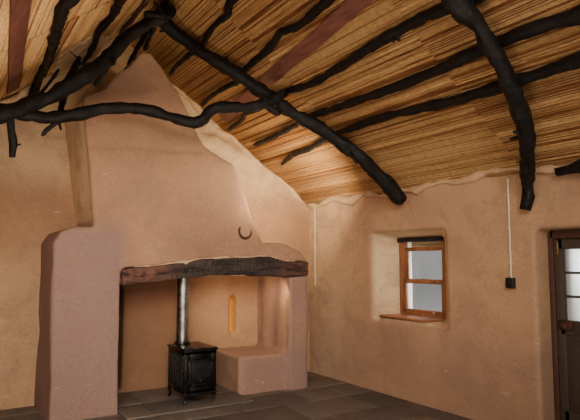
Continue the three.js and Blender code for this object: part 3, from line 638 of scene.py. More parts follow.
# Each finish: the function that makes it and what it is given.
FINISHES = {
    "plaster": (plaster_finish,),
    "limewash": (limewash_finish,),
    "flags": (stone_finish, "floor_flags", rgb(120, 106, 94), rgb(78, 70, 66)),
    "slab": (stone_finish, "pale_slab", rgb(152, 144, 130), rgb(108, 102, 94)),
    "mortar": (stone_finish, "mortar", rgb(128, 116, 100), rgb(96, 86, 74)),
    "pole": (pole_finish, "black_pole", rgb(10, 7, 6), rgb(36, 25, 21), 0.52),
    "brown_pole": (pole_finish, "brown_pole", rgb(56, 34, 30), rgb(112, 74, 64), 0.6),
    "red_board": (board_finish, "red_brown_board", rgb(124, 72, 56), rgb(82, 44, 38)),
    "reed": (reed_finish,),
    "thatch": (thatch_finish, "thatch"),
    "thatch_ridge": (thatch_finish, "thatch_ridge_reed", 1.12),
    "thatch_ends": (cut_thatch_finish,),
    "log": (log_finish,),
    "sash": (board_finish, "varnished_sash", rgb(164, 106, 68), rgb(118, 70, 44), (6.0, 3.0, 0.6), 0.4),
    "door": (door_finish,),
    "door_frame": (painted_finish, "door_frame_paint", rgb(74, 48, 38), rgb(112, 78, 60)),
    "clear": (glass_finish, "clear_glass", (0.94, 0.97, 0.96, 1), 0.02, 6.0),
    "frosted": (glass_finish, "frosted_glass", (0.90, 0.93, 0.90, 1), 0.45, 90.0),
    "cloth": (painted_finish, "black_blind", rgb(20, 22, 30), rgb(40, 42, 50), 0.7),
    "iron": (metal_finish, "cast_iron", rgb(8, 7, 8), rgb(27, 24, 23), 0.30, 0.35, 90.0),
    "zinc": (metal_finish, "zinc_pipe", rgb(118, 114, 108), rgb(176, 172, 164), 0.36, 1.0, 26.0, 0.0005,
             0.07),
    "rust": (metal_finish, "old_iron", rgb(52, 34, 26), rgb(104, 66, 46), 0.7, 0.5, 120.0, 0.002),
    "brass": (metal_finish, "worn_brass", rgb(120, 92, 48), rgb(186, 150, 90), 0.35),
    "black": (painted_finish, "black_fitting", rgb(16, 16, 18), rgb(46, 46, 50), 0.35),
    "cream": (painted_finish, "cream_conduit", rgb(214, 200, 168), rgb(176, 158, 126), 0.5),
    "flue": (painted_finish, "flue_soot", rgb(18, 16, 15), rgb(44, 40, 37), 0.95),
}
MADE = {}


def finish(name):
    """The named finish, made when it is first asked for."""
    if name not in MADE:
        maker, *given = FINISHES[name]
        MADE[name] = maker(*given)
    return MADE[name]


# ---- walls

FRONT_WALLS = ("front_wall", "front_wall_over_door", "front_wall_end")
# The boxes round the window's and the door's frames, which the plaster meets without lumps.
WINDOW_AND_DOOR = (((3.03, -2.28, 0.90), (3.2, -1.51, 1.875)),
                   ((2.87, DOOR_NEAR, 0.0), (3.04, DOOR_FAR, 1.87)))


def soft(value, low, high):
    """0 below low, 1 above high, smooth between."""
    t = min(1.0, max(0.0, (value - low) / (high - low)))
    return t * t * (3 - 2 * t)


def looks_out(middle, normal):
    """Whether a face of the walls is past the gable, in an outer reveal or on the outside of a side wall."""
    if middle.y > GABLE_OUT - 0.1 or (middle.x > 3.18 and middle.y < 0):
        return True
    return abs(middle.x) > OUTER - 0.12 and abs(normal.x) > 0.5


def rumpled(p):
    """How lumpy the plaster is: not at all beside the two frames, most where it was pushed up to the reed."""
    gaps = []
    for low, high in WINDOW_AND_DOOR:
        gaps.append(math.hypot(*(max(l - c, 0, c - h) for c, l, h in zip(p, low, high))))
    near_frames = min(1.0, max(0.0, min(gaps) - 0.05) / 0.12)
    if abs(p.x) > ROOM_HALF + 0.2 or p.y > GABLE_OUT - 0.3:
        return near_frames
    gap = (under_mat(p.x) - p.z) / TILT
    return near_frames * (1 + 2.6 * math.exp(-(gap / 0.16) ** 2))


def hearth_darkening(p):
    """Brown smoke on the back of the hearth, thickest behind the stove and up in the hood."""
    if not (-0.3 < p.x < 1.85 and p.z < 1.75 and -0.1 < p.y < 0.35):
        return 0.0
    return min(0.92, 0.30 + 0.45 * soft(1.3 - p.x, 0.0, 0.9) + 0.4 * soft(p.z, 0.75, 1.5))


def slit_painted_glow(p):
    """Ochre inside the slit at the back of the hearth."""
    inside = 1.38 < p.x < 1.55 and 0.58 < p.z < 1.16
    return soft(p.y, 0.015, 0.05) if inside and p.y < 0.3 else 0.0


def wall_shades(bm, cream, lilac, soot=0.0, smoke=hearth_darkening, ochre=slit_painted_glow):
    """Stores all the numbers that the plaster reads."""
    shade(bm, cream=cream, lilac=lilac, smoke=smoke, soot=soot, ochre=ochre)


def gable_painted_light(p):
    """The lit cream wash above the breast and the warmer wall inside the hearth."""
    return 0.85 * soft(p.z, 2.2, 2.9) + 0.25 * soft(1.9 - p.z, 0.0, 0.5)


def wall_painted_light(p):
    """Paler wash inside the window's splays and beside the gable."""
    reveal = soft(p.x, 2.70, 2.78) if -2.7 < p.y < -1.3 and 0.8 < p.z < 2.0 else 0.0
    return min(1.0, 0.12 + 0.85 * reveal + 0.5 * soft(p.y, -1.4, -0.2) * soft(p.x, 2.0, 2.5))


def wall_lilac(p):
    """The greyer lower part of the side walls."""
    return 0.35 * soft(1.3 - p.z, 0.0, 0.9)


def lip_cream_and_painted_light(p):
    """The lips on the gable are paler than those on the side walls."""
    return 0.7 if p.y > -0.06 else 0.2 + wall_painted_light(p)


def add_fillet(bm):
    """The lumpy plaster between the breast's shoulder and the reed."""
    for x, z, size in ((0.93, 3.33, 0.13), (1.05, 3.20, 0.15), (1.24, 3.22, 0.13), (1.40, 3.16, 0.13),
                       (1.56, 3.08, 0.11)):
        place = Matrix.Translation(at(x, LEAN * (z - LEAN_FOOT), z)) @ Matrix.Diagonal((1.2, 0.55, 0.9, 1))
        bmesh.ops.create_icosphere(bm, subdivisions=2, radius=size, matrix=place)


def build_walls():
    for name, nodes, voxel, seed in (("gable_plaster", ("gable_wall",), 0.036, 1),
                                     ("front_wall_plaster", FRONT_WALLS, 0.028, 2),
                                     ("back_wall_plaster", ("back_wall",), 0.036, 3)):
        gable = name == "gable_plaster"
        bm = merged_copy(*nodes)
        if gable:
            add_fillet(bm)
        else:
            reach_into(bm, 1, SHIFT.y, 0.08)
        if nodes is FRONT_WALLS:
            low, high = node_span("window_sill")
            blocks(bm, (low.x + 0.01, high.x + 0.01, low.y - 0.02, high.y + 0.02,
                        low.z - 0.07, low.z - 0.002))
        bm = skinned(bm, voxel)
        undulate(bm, ((0.9, 0.016), (0.28, 0.008), (0.1, 0.003)), seed, rumpled)
        low, high = zip(*(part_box(node) for node in nodes))
        low, high = [min(c) for c in zip(*low)], [max(c) for c in zip(*high)]
        if not gable:
            high[1] += 0.09
        keep_within(bm, low, high)
        second_finish(bm, looks_out)
        # The cream numbers are painted light.
        wall_shades(bm, gable_painted_light if gable else wall_painted_light, 0.0 if gable else wall_lilac)
        piece(name, bm, "plaster limewash", "plaster", *nodes)


def plaster_lip(bm, start, end, radius, seed):
    """A ragged roll of plaster where a wall meets the reed."""
    count = max(6, int((end - start).length / 0.05))
    away = Vector((seed * 2.1, seed, 0))
    points, radii = [], []
    for k in range(count + 1):
        p = start.lerp(end, k / count)
        ragged = 1.5 * abs(noise.noise(p * 2.6 + away)) + 0.6 * noise.noise(p * 8 + away)
        radii.append(radius * (0.7 + ragged))
        rise = 0.085 * noise.noise(p * 1.9 + away) + 0.03 * noise.noise(p * 6 + away)
        points.append(p + Vector((0, 0, rise)))
    sweep(bm, points, radii, 10)


# Plaster pushed over the reed of the left slope beside the gable: x, y and radius of each dab.
SMEAR = ((-0.42, -0.20, 0.14), (-0.54, -0.42, 0.14), (-0.64, -0.60, 0.14), (-0.77, -0.55, 0.13),
         (-0.85, -0.50, 0.12), (-0.56, -0.12, 0.17), (-0.70, -0.24, 0.17), (-0.83, -0.27, 0.13),
         (-0.80, 0.02, 0.15), (-0.60, 0.18, 0.18), (-0.74, 0.16, 0.17), (-0.42, 0.12, 0.17),
         (-0.25, 0.10, 0.14))


def build_lips():
    bm = bmesh.new()
    for side in (1, -1):
        top = at(side * 0.02, LEAN * (RIDGE - 0.06 - LEAN_FOOT), RIDGE - 0.045)
        foot = at(side * 2.66, LEAN * (WALL_TOP - LEAN_FOOT), WALL_TOP)
        plaster_lip(bm, top, foot, 0.034, side)
    for side in (1, -1):
        far, near = (at(side * 2.7, y, WALL_TOP - 0.028) for y in (0.05, NEAR_END + 0.06))
        plaster_lip(bm, far, near, 0.036, side + 5)
    undulate(bm, ((0.12, 0.022), (0.05, 0.012), (0.022, 0.004)), 4)
    wall_shades(bm, lip_cream_and_painted_light, 0.0)
    piece("plaster_edges", bm, "plaster", "plaster")
    bm = bmesh.new()
    tilt = Matrix.Rotation(-math.atan(SLOPE), 4, "Y")
    for x, y, size in SMEAR:
        place = Matrix.Translation(at(x, y, under_mat(x) - 0.004)) @ tilt @ Matrix.Diagonal((1, 1, 0.24, 1))
        bmesh.ops.create_icosphere(bm, subdivisions=3, radius=size, matrix=place)
    bm = skinned(bm, 0.018)
    undulate(bm, ((0.25, 0.010), (0.07, 0.006)), 17)
    # The smear is as pale as the lit upper gable: painted light.
    wall_shades(bm, 0.95, 0.0)
    piece("plaster_smear", bm, "plaster", "plaster")


# ---- hearth

MASONRY = ("chimney_breast_front", "chimney_breast_core", "hearth_left_pier", "hearth_right_jamb",
           "hearth_bench")


def breast_flank_painted_light(p):
    """The warm left flank of the breast."""
    return soft(p.y, -0.82, -0.74) * soft(-p.x, 0.3, 0.45) * soft(p.z, 1.95, 2.05)


def jamb_wave(p, ahead):
    """The shallow folds down the right jamb."""
    return math.sin(p.y * 14 + 0.8 * p.z + ahead)


def masonry_lilac_and_painted_shade(p):
    """Lilac grey on the pier, in the jamb's folds and on the bench."""
    pier = soft(-0.15 - p.x, 0.0, 0.2) * soft(2.1 - p.z, 0.0, 0.3)
    # Painted shade in the jamb's folds, set off from the folds' own shape.
    fold_shade = 0.5 + 0.5 * jamb_wave(p, 1.7) if p.x < 1.9 else 0.0
    jamb = soft(p.x, 1.75, 1.9) * soft(1.6 - p.z, 0.0, 0.3) * (1 + 0.9 * fold_shade)
    bench = soft(p.x, 1.1, 1.25) * soft(0.5 - p.z, 0.0, 0.1)
    return min(1.0, 0.9 * pier + 0.55 * jamb + 0.7 * bench + 0.15)


def masonry_soot(p):
    """Soot inside the hood."""
    inside = soft(p.y, -0.66, -0.6) * soft(p.z, 1.35, 1.6) * soft(0.02 - p.y, -0.1, 0.1)
    return 0.85 * inside if p.x > -0.3 else 0.0


def build_masonry():
    bm = merged_copy(*MASONRY)
    for v in bm.verts:
        back = LEAN * max(0.0, v.co.z - SHIFT.z - LEAN_FOOT) + SHIFT.y
        if abs(v.co.y - back) < 3e-3:
            v.co.y += 0.06
    reach_into(bm, 2, SHIFT.z, -0.05)
    bm = skinned(bm, 0.026)
    undulate(bm, ((0.75, 0.022), (0.24, 0.010), (0.08, 0.003)), 6)
    for v in bm.verts:
        p = v.co - SHIFT
        if 1.78 < p.x < 1.88 and -0.8 < p.y < -0.06 and 0.46 < p.z < 1.4:
            v.co.x += 0.012 * jamb_wave(p, 0.5) + 0.008 * noise.noise(p * 3)
        elif p.y < -0.78 and 2.2 < p.z < 3.1:
            crease = 2.80 + 0.06 * p.x + 0.04 * noise.noise(Vector((p.x * 2.5, 0, 7)))
            v.co.y -= 0.018 * soft(crease - p.z, -0.02, 0.03) * soft(p.z, 2.3, 2.7)
        v.co.z = max(v.co.z, SHIFT.z - 0.05)
    # The flank's cream is painted light; the jamb's lilac is painted shade.
    wall_shades(bm, breast_flank_painted_light, masonry_lilac_and_painted_shade, masonry_soot, 0.0, 0.0)
    piece("hearth_masonry", bm, "plaster", "plaster", *MASONRY)


def build_lintel():
    bm = skinned(merged_copy("lintel_log"), 0.014)
    undulate(bm, ((0.22, 0.012), (0.07, 0.006), (0.028, 0.0025)), 8)
    low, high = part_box("lintel_log")
    keep_within(bm, low, high)
    tops = {}
    for v in bm.verts:
        key = round(v.co.x / 0.05)
        if v.co.y < low.y + 0.05 and (key not in tops or v.co.z > tops[key].z):
            tops[key] = v.co.copy()
    route = [tops[key] + Vector((0, 0.012, -0.004)) for key in sorted(tops)][2:-2]
    piece("hewn_lintel", bm, "log", "hewn_log", "lintel_log")
    bm = bmesh.new()
    radii = [0.014 + 0.020 * abs(noise.noise(p * 3.3)) + 0.006 * noise.noise(p * 14) for p in route]
    sweep(bm, smooth_route(route, 0.05)[:len(radii)], radii, 9)
    undulate(bm, ((0.06, 0.009), (0.025, 0.004)), 15)
    wall_shades(bm, 0.75, 0.1)
    keep_within(bm, low, high + Vector((0, 0.1, 0.03)))
    piece("lintel_plaster_edge", bm, "plaster", "plaster")


def flag_rows(rng, low, high, row, widths):
    """Staggered flagstones that fill a rectangle, as (x0, x1, y0, y1)."""
    y = low[1]
    while y < high[1] - 0.05:
        deep = min(rng.uniform(*row), high[1] - y)
        if high[1] - y - deep < row[0] * 0.5:
            deep = high[1] - y
        x = low[0] - rng.uniform(0, widths[0] * 0.6)
        while x < high[0] - 0.02:
            wide = rng.uniform(*widths)
            if high[0] - x - wide < widths[0] * 0.4:
                wide = high[0] - x
            yield max(x, low[0]), min(x + wide, high[0]), y, y + deep
            x += wide
        y += deep


def lay_flags(rng, name, node, thick, row, widths, joint):
    """A floor of eased stones, each with its own tone."""
    low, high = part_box(node)
    bm = bmesh.new()
    tone = float_layer(bm, "tone")
    for x0, x1, y0, y1 in flag_rows(rng, low, high, row, widths):
        if x1 - x0 < 0.06:
            continue
        seen = set(bm.verts)
        top = high.z - rng.uniform(0.0, 0.003)
        block(bm, (x0 + joint, y0 + joint, high.z - thick), (x1 - joint, y1 - joint, top), 0.007, 3)
        value = rng.random()
        for v in bm.verts:
            if v not in seen:
                v[tone] = value
    piece(name, bm, "flags", "floor_stone", node)


def build_floor():
    rng = random.Random(11)
    lay_flags(rng, "floor_flags", "floor", 0.05, (0.46, 0.66), (0.5, 0.95), 0.007)
    low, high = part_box("floor")
    bm = bmesh.new()
    block(bm, low, high - Vector((0, 0, 0.012)))
    shade(bm, tone=0.0)
    piece("floor_bed", bm, "mortar", "floor_stone", smooth=False)
    lay_flags(rng, "hearthstones", "hearthstone", 0.024, (0.5, 0.62), (0.42, 0.62), 0.003)
    bm = bmesh.new()
    block(bm, *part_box("door_threshold"), 0.018, 4)
    shade(bm, tone=0.0)
    piece("threshold_slab", bm, "slab", "floor_stone", "door_threshold")


# ---- pole roof

def route_of(points, below=0.0, side=1):
    """A route in millimetres as building metres; a point without a height of its own lies below the mats."""
    return [(side * x * MM, y * MM, high[0] * MM if high else under_mat(x * MM, below))
            for x, y, *high in points]


PAST = NEAR_END * 1000 + 4
RIDGE_ROUTE = [(-30, -40, 4020), (-12, -300, 4130), (5, -640, 4255), (10, -1000, 4350), (20, -1500, 4385),
               (30, -2600, 4385), (15, -4000, 4380), (20, PAST, 4385)]
RIDGE_STUBS = [
    ([(52, -420, 4110), (40, -640, 4190), (30, -860, 4270), (25, -1060, 4330)], 0.030, 0.026),
    ([(-150, -1110, 4222), (0, -1100, 4262), (128, -1090, 4284)], 0.036, 0.040),
]
RIGHT_PURLINS = [
    [(548, 86), (515, -257), (518, -714), (530, -1010), (477, -1304), (454, -1641), (458, -1850),
     (402, -2077), (400, -3000), (340, -4200), (300, PAST)],
    [(998, 66), (969, -372), (967, -803), (980, -1057), (927, -1278), (889, -1793), (852, -2108),
     (819, -2300), (848, -2600), (812, -3098), (700, -4300), (640, PAST)],
    [(1388, 62), (1350, -433), (1300, -624), (1318, -895), (1284, -1639), (1307, -1892), (1316, -2165),
     (1296, -2574), (1240, -3500), (1260, -4400), (1280, PAST)],
    [(1676, -162), (1671, -585), (1646, -1074), (1610, -1510), (1599, -1752), (1612, -2149), (1630, -3300),
     (1590, -4300), (1640, PAST)],
    [(2018, -342), (1948, -747), (1938, -1091), (1891, -1494), (1861, -1793), (1850, -2700), (1900, -3700),
     (1870, PAST)],
]
# Each left purlin with its radii and its finish.
LEFT_PURLINS = [
    ([(217, -294), (228, -898), (241, -1393), (250, -2400), (240, -3600), (250, PAST)],
     0.028, 0.032, "brown_pole"),
    ([(530, 300), (541, -280), (629, -1083), (590, -1415), (646, -1895), (640, -3000), (600, -4200),
      (620, PAST)], 0.030, 0.056, "pole"),
    ([(1108, 330, 3430), (1099, 150, 3500), (1086, 40, 3560), (1066, -200), (1078, -874), (1167, -1786),
      (1205, -2371), (1165, -2740), (1150, -3400), (1190, -4400), (1170, PAST)], 0.042, 0.058, "pole"),
    ([(1710, 190), (1660, -900), (1760, -1900), (1860, -2900), (1920, -4000), (1950, PAST)],
     0.038, 0.052, "pole"),
    ([(2110, 130), (2080, -1200), (2150, -2500), (2230, -3900), (2260, PAST)], 0.038, 0.052, "pole"),
]
RIGHT_BLADES = [
    [(20, -1030, 4235), (110, -1030, 4190), (280, -1050), (570, -1220), (810, -1360), (1070, -1480),
     (1250, -1600), (1500, -1730), (1750, -1890), (2090, -2030), (2450, -2045), (2640, -2050)],
    [(-130, -4090), (300, -4120), (800, -4190), (1400, -4250), (2000, -4110), (2350, -3900),
     (2570, -3740, 2325), (2635, -3690, 2190), (2635, -3655, 2045)],
]
LEFT_BLADES = [
    [(-130, -1210, 4285), (-30, -1200, 4262), (310, -1160, 3965), (440, -1150, 3825), (570, -1150, 3650),
     (780, -1150, 3424), (905, -1150, 3316), (1050, -1140, 3205), (1212, -1130, 3092), (1390, -1130, 2990),
     (1515, -1140, 2930), (1700, -1150, 2830), (2100, -1180, 2620), (2740, -1250)],
    [(-150, -4260), (300, -4280), (900, -4200), (1500, -4150), (2200, -4200), (2740, -4220)],
]
COLLARS = [
    [(-1520, -1090, 3000), (-1180, -1120, 2960), (-900, -1170, 2990), (-540, -1250, 3110),
     (-180, -1350, 3110), (190, -1450, 3020), (330, -1490, 3050), (480, -1530, 3190), (830, -1630, 3230),
     (1090, -1690, 3330), (1230, -1720, 3440)],
    [(-1000, -4320, 3505), (-400, -4350, 3640), (200, -4360, 3630), (1010, -4340, 3530)],
]
STRUT = [(-775, -852, 3712), (-802, -865, 3643), (-862, -890, 3507), (-913, -925, 3381), (-942, -965, 3245),
         (-960, -1030, 3130), (-988, -1100, 3020)]
HANGING_STUB = [(-1425, -1080, 2975), (-1418, -1060, 2935), (-1382, -1010, 2734), (-1384, -1000, 2559)]
# Stubs, forks and broken sticks: the route and the radii at its ends.
KNOB = [([(690, -1290, 3780), (700, -1290, 3830), (700, -1280, 3866)], 0.05, 0.03)]
BROKEN_STICKS = [
    ([(-470, -1075, 3860), (-520, -1050, 3680), (-566, -1000, 3528), (-648, -985, 3392)], 0.030, 0.028),
    ([(-1010, -1060, 3480), (-1071, -1080, 3364), (-1125, -1100, 3269), (-1170, -1120, 3197)], 0.015, 0.018),
]
COLLAR_ENDS = [
    ([(-985, -1155, 2980), (-1003, -1140, 2938), (-1100, -1115, 2846), (-1142, -1100, 2782)], 0.024, 0.018),
    ([(1010, -1660, 3270), (1100, -1690, 3215), (1160, -1705, 3190)], 0.050, 0.026),
]
STRUT_TWIG = [([(-896, -900, 3754), (-850, -895, 3720), (-794, -870, 3691)], 0.006, 0.008)]
APEX_PEGS = [
    ([(-235, -1300, 4143), (-80, -1308, 4170), (75, -1300, 4184)], 0.034, 0.038, 10, 2),
    ([(-155, -1335, 4285), (-70, -1350, 4190), (5, -1335, 4095)], 0.017, 0.014, 8, 1),
]
DOOR_WALL_TIMBER = [(2615, -3990, 2355), (2610, -4300, 2375), (2620, -4700, 2370), (2615, -5200, 2365),
                    (2615, NEAR_END * 1000 + 10, 2370)]


def random_way(rng, highest):
    """A random way sideways or down, or up as far as highest."""
    return Vector((rng.uniform(-1, 1), rng.uniform(-1, 1), rng.uniform(-1, highest))).normalized()


def pole(bm, rng, route, radius, tip, sides=14, step=0.06, knots=6):
    """A crooked pole along a route in building metres: swellings, knots and softly rounded ends."""
    points = [at(*p) for p in smooth_route(route, step)]
    last = len(points) - 1
    away = Vector((rng.uniform(0, 50), rng.uniform(0, 50), rng.uniform(0, 50)))
    radii = []
    for k, p in enumerate(points):
        size = (radius + (tip - radius) * k / last) * (1 + 0.26 * noise.noise(p * 6.5 + away))
        points[k] = p + 0.30 * size * Vector((noise.noise(p * 3 + away), noise.noise(p * 3 - away), 0))
        radii.append(size)
    for k, share in ((0, 0.72), (1, 0.97)):
        radii[k] *= share
        radii[last - k] *= share
    seen = set(bm.verts)
    sweep(bm, points, radii, sides)
    mine = [v for v in bm.verts if v not in seen]
    lumps = []
    for _ in range(knots):
        k = rng.randrange(2, max(3, last - 1))
        side = random_way(rng, 0.4)
        lumps.append((points[k] + side * radii[k], radii[k] * 0.7, radii[k] * rng.uniform(0.35, 0.8)))
    twigs = bmesh.new()
    for _ in range(knots // 3):
        k = rng.randrange(2, max(3, last - 1))
        side = random_way(rng, 0.3)
        foot = points[k] + side * radii[k] * 0.5
        side = (side + 0.9 * rng.choice((-1, 1)) * (points[k + 1] - points[k - 1]).normalized()).normalized()
        rod(twigs, foot, foot + side * radii[k] * rng.uniform(1.0, 1.9), radii[k] * 0.32, 7, radii[k] * 0.2)

    def bark(place):
        height = 0.30 * radius * noise.noise(place * 12 + away)
        height += 0.18 * radius * noise.noise(place * 34 + away)
        for centre, reach, high in lumps:
            gap = (place - centre).length
            if gap < 2.5 * reach:
                height += high * math.exp(-(gap / reach) ** 2)
        return height

    along_normals(bm, bark, mine)
    join(bm, twigs)


def under_the_reed(bm):
    """Turns the faces outwards and keeps the poles under the reed and inside the open end."""
    bmesh.ops.recalc_face_normals(bm, faces=bm.faces)
    for v in bm.verts:
        v.co.z = min(v.co.z, under_mat(v.co.x, -0.006) + SHIFT.z)
        v.co.y = max(v.co.y, NEAR_END + SHIFT.y)


def make_pole(node, route, radius, tip, look="pole", extras=(), name=None, **more):
    """One pole with its stubs; the seed comes from its name."""
    name = name or f"{node}_bark"
    rng = random.Random(sum(ord(c) * (k + 1) for k, c in enumerate(name)))
    bm = bmesh.new()
    pole(bm, rng, route, radius, tip, **more)
    for extra, thick, thin in extras:
        pole(bm, rng, route_of(extra), thick, thin, sides=10, step=0.03, knots=1)
    under_the_reed(bm)
    piece(name, bm, look, "dark_pole", *([node] if node else []))


def build_poles():
    make_pole("ridge_pole", route_of(RIDGE_ROUTE), 0.031, 0.040, extras=RIDGE_STUBS)
    for k, route in enumerate(RIGHT_PURLINS):
        make_pole(f"right_purlin_{k + 1}", route_of(route, 0.044), 0.027, 0.060)
    for k, (route, *settings) in enumerate(LEFT_PURLINS):
        make_pole(f"left_purlin_{k + 1}", route_of(route, 0.05, -1), *settings)


def build_trusses():
    for k, right_radii in enumerate(((0.072, 0.080), (0.078, 0.062))):
        knob, sticks, ends = ([], [], []) if k else (KNOB, BROKEN_STICKS, COLLAR_ENDS)
        truss = f"truss_{k + 1}"
        make_pole(f"{truss}_right_blade", route_of(RIGHT_BLADES[k], 0.17), *right_radii, extras=knob,
                  sides=18, knots=16)
        make_pole(f"{truss}_left_blade", route_of(LEFT_BLADES[k], 0.2066, -1), 0.070, 0.090, extras=sticks,
                  sides=18, knots=9)
        make_pole(f"{truss}_collar", route_of(COLLARS[k]), 0.060, 0.056, extras=ends, sides=16, knots=8)
    make_pole("truss_1_strut", route_of(STRUT), 0.036, 0.032, extras=STRUT_TWIG)
    make_pole("truss_1_hanging_stub", route_of(HANGING_STUB), 0.036, 0.034)


def build_apex_pegs():
    """The short block and the stick that cross where the blades meet."""
    rng = random.Random(51)
    bm = bmesh.new()
    for route, radius, tip, sides, knots in APEX_PEGS:
        pole(bm, rng, route_of(route), radius, tip, sides, 0.03, knots)
    under_the_reed(bm)
    piece("apex_pegs", bm, "pole", "dark_pole")


def build_wall_timber():
    """The log that lies along the wall's top over the door."""
    make_pole(None, route_of(DOOR_WALL_TIMBER), 0.052, 0.055, name="door_wall_timber")


def build_boards():
    cuts = 30
    for label, side in (("right", 1), ("left", -1)):
        node = f"{label}_sawn_board"
        bm = merged_copy(node)
        for k in range(cuts):
            place = at(0, -0.02 + (NEAR_END + 0.02) * k / cuts, 0)
            bmesh.ops.bisect_plane(bm, geom=bm.verts[:] + bm.edges[:] + bm.faces[:], plane_co=place,
                                   plane_no=(0, 1, 0), clear_outer=k == 0)
            if k == 0:
                bmesh.ops.holes_fill(bm, edges=bm.edges, sides=0)
        for v in bm.verts:
            bow = 0.012 * noise.noise(Vector((side * 3, v.co.y * 1.1, 0)))
            v.co.x += side * bow
            v.co.z -= SLOPE * bow
        corners = [e for e in bm.edges if len(e.link_faces) == 2 and e.calc_face_angle(0) > math.radians(30)]
        ease_edges(bm, corners, 0.004)
        piece(f"{label}_board_sawn", bm, "red_board", "sawn_board", node, crisp=True)


# ---- reed lining

def slope_ways(side):
    """The way down a slope, and the way up from it and square to it."""
    return Vector((side / TILT, 0, -SLOPE / TILT)), Vector((side * SLOPE / TILT, 0, 1 / TILT))


def reed_panel(bm, rng, side, y0, y1, width, lift, seed):
    """One mat of reeds laid along the ridge: a fine scalloped sheet, four faces to a reed."""
    count = int(EAVES * TILT / width)
    rows = max(4, int((y1 - y0) / 0.34))
    tone = float_layer(bm, "tone")
    # About a quarter of the reeds are near black: painted shade in the gaps between reeds.
    tones = [rng.uniform(0.0, 0.1) if rng.random() < 0.24 else min(1.0, max(0.0, rng.gauss(0.6, 0.2)))
             for _ in range(count)]
    sizes = [rng.uniform(0.75, 1.25) for _ in range(count)]
    starts = [rng.uniform(-0.02, 0.02) for _ in range(count)]
    lengths = [sum(sizes[:k]) for k in range(count + 1)]
    scale = EAVES * TILT / lengths[-1]
    away = Vector((seed * 7.7, seed * 2.9, 0))
    up = slope_ways(side)[1]
    for v in bmesh.ops.create_grid(bm, x_segments=count * 4, y_segments=rows, size=0.5)["verts"]:
        reed, part = divmod(min(count * 4, max(0, round((v.co.x + 0.5) * count * 4))), 4)
        index = min(reed, count - 1)
        down = (lengths[reed] + (sizes[index] * part / 4 if reed < count else 0)) * scale
        share = v.co.y + 0.5
        y = y0 + (y1 - y0) * share
        x = (down + 0.004 * noise.noise(Vector((down * 1.3, y * 0.9, seed)) + away)) / TILT
        rise = (0.0075, 0.0045, 0.0, 0.0045)[part]
        rise += 0.0035 * (0.5 + 0.5 * noise.noise(Vector((down * 60, y * 1.4, 3)) + away))
        if share in (0.0, 1.0):
            y += starts[index]
        v[tone] = tones[index]
        v.co = at(side * min(max(x, 0.0), EAVES), min(VERGE, max(NEAR_END, y)), RIDGE - SLOPE * x)
        v.co += up * (rise + lift)


def build_reed():
    width = bpy.context.scene.cottage.reed_width
    ends = (VERGE, -1.72, -3.62, NEAR_END)
    for label, side in (("right", 1), ("left", -1)):
        rng = random.Random(21 + side)
        bm = bmesh.new()
        for k in range(3):
            near, far = ends[k + 1] - 0.03, ends[k] + (0.03 if k else 0)
            reed_panel(bm, rng, side, near, far, width, 0.006 * (k % 2), k + side)
        bmesh.ops.recalc_face_normals(bm, faces=bm.faces)
        bm.normal_update()
        bmesh.ops.reverse_faces(bm, faces=[f for f in bm.faces if f.normal.z > 0])
        node = f"reed_mat_{label}"
        back = merged_copy(node)
        for v in back.verts:
            p = v.co - SHIFT
            if p.z < under_mat(p.x, -0.012):
                v.co += slope_ways(side)[1] * 0.016
        join(bm, back)
        piece(f"reed_lining_{label}", bm, "reed", "reed_mat", node)


# ---- thatch

# The top of the thatch over the reed, and the length of one course down the slope.
THATCH_TOP, COURSE = 0.325, 0.62


def straws(bm, rng, count, spot, lean, length):
    """Loose stems that lie on the thatch or hang at its edge, made in bundles."""
    radius, bundled = 0.0035, 50
    for _ in range(count // bundled):
        bundle = bmesh.new()
        for _ in range(bundled):
            start = spot()
            way = lean().normalized() * rng.uniform(*length)
            rod(bundle, start, start + way, radius * rng.uniform(0.7, 1.3), 3, radius * 0.5)
        join(bm, bundle)


def thatched(node, voxel, seed):
    """The thatch as a skin with furrows and courses sunk into it, and cut ends on its end faces."""
    bm = skinned(merged_copy(node), voxel)
    away = Vector((seed * 3.3, seed, seed * 7.1))

    def relief(p):
        down = abs(p.x) * TILT
        furrow = noise.noise(Vector((p.y * 9.0, down * 0.9, seed)) + away)
        lump = noise.noise(p * 1.6 + away)
        phase = down * 2 * math.pi / COURSE + 1.5 * noise.noise(Vector((p.y, 0, seed)))
        return -(0.016 + 0.012 * furrow + 0.012 * lump + 0.012 * (0.5 + 0.5 * math.cos(phase)))

    along_normals(bm, relief)
    second_finish(bm, lambda middle, normal: abs(normal.y) > 0.7)
    return bm


def build_thatch():
    for label, side in (("right", 1), ("left", -1)):
        node = f"thatch_{label}"
        rng = random.Random(31 + side)
        bm = thatched(node, 0.045, side)
        down, up = slope_ways(side)
        crown = at(0, 0, RIDGE) + up * THATCH_TOP

        def on_top():
            place = crown + down * rng.uniform(0.6, 4.3) + along(rng.uniform(NEAR_END + 0.1, VERGE - 0.1))
            return place - up * 0.035

        def at_eaves():
            place = crown + down * rng.uniform(4.42, 4.56) + along(rng.uniform(NEAR_END + 0.02, VERGE - 0.02))
            return place - up * rng.uniform(0.05, 0.29)

        def at_verge():
            end = rng.choice((NEAR_END + 0.06, VERGE - 0.06))
            return crown + down * rng.uniform(0.5, 4.4) + along(end) - up * rng.uniform(0.04, 0.26)

        def flat():
            return down + along(rng.uniform(-0.12, 0.12)) + up * rng.uniform(-0.01, 0.05)

        def outward():
            return down * rng.uniform(0.5, 1) + along(rng.uniform(-0.4, 0.4)) + up * rng.uniform(-0.3, 0.05)

        straws(bm, rng, 2600, on_top, flat, (0.10, 0.30))
        straws(bm, rng, 2600, at_eaves, flat, (0.05, 0.14))
        straws(bm, rng, 900, at_verge, outward, (0.04, 0.10))
        keep_within(bm, *CAD_BOX)
        piece(f"thatch_coat_{label}", bm, "thatch thatch_ends", "thatch", node)


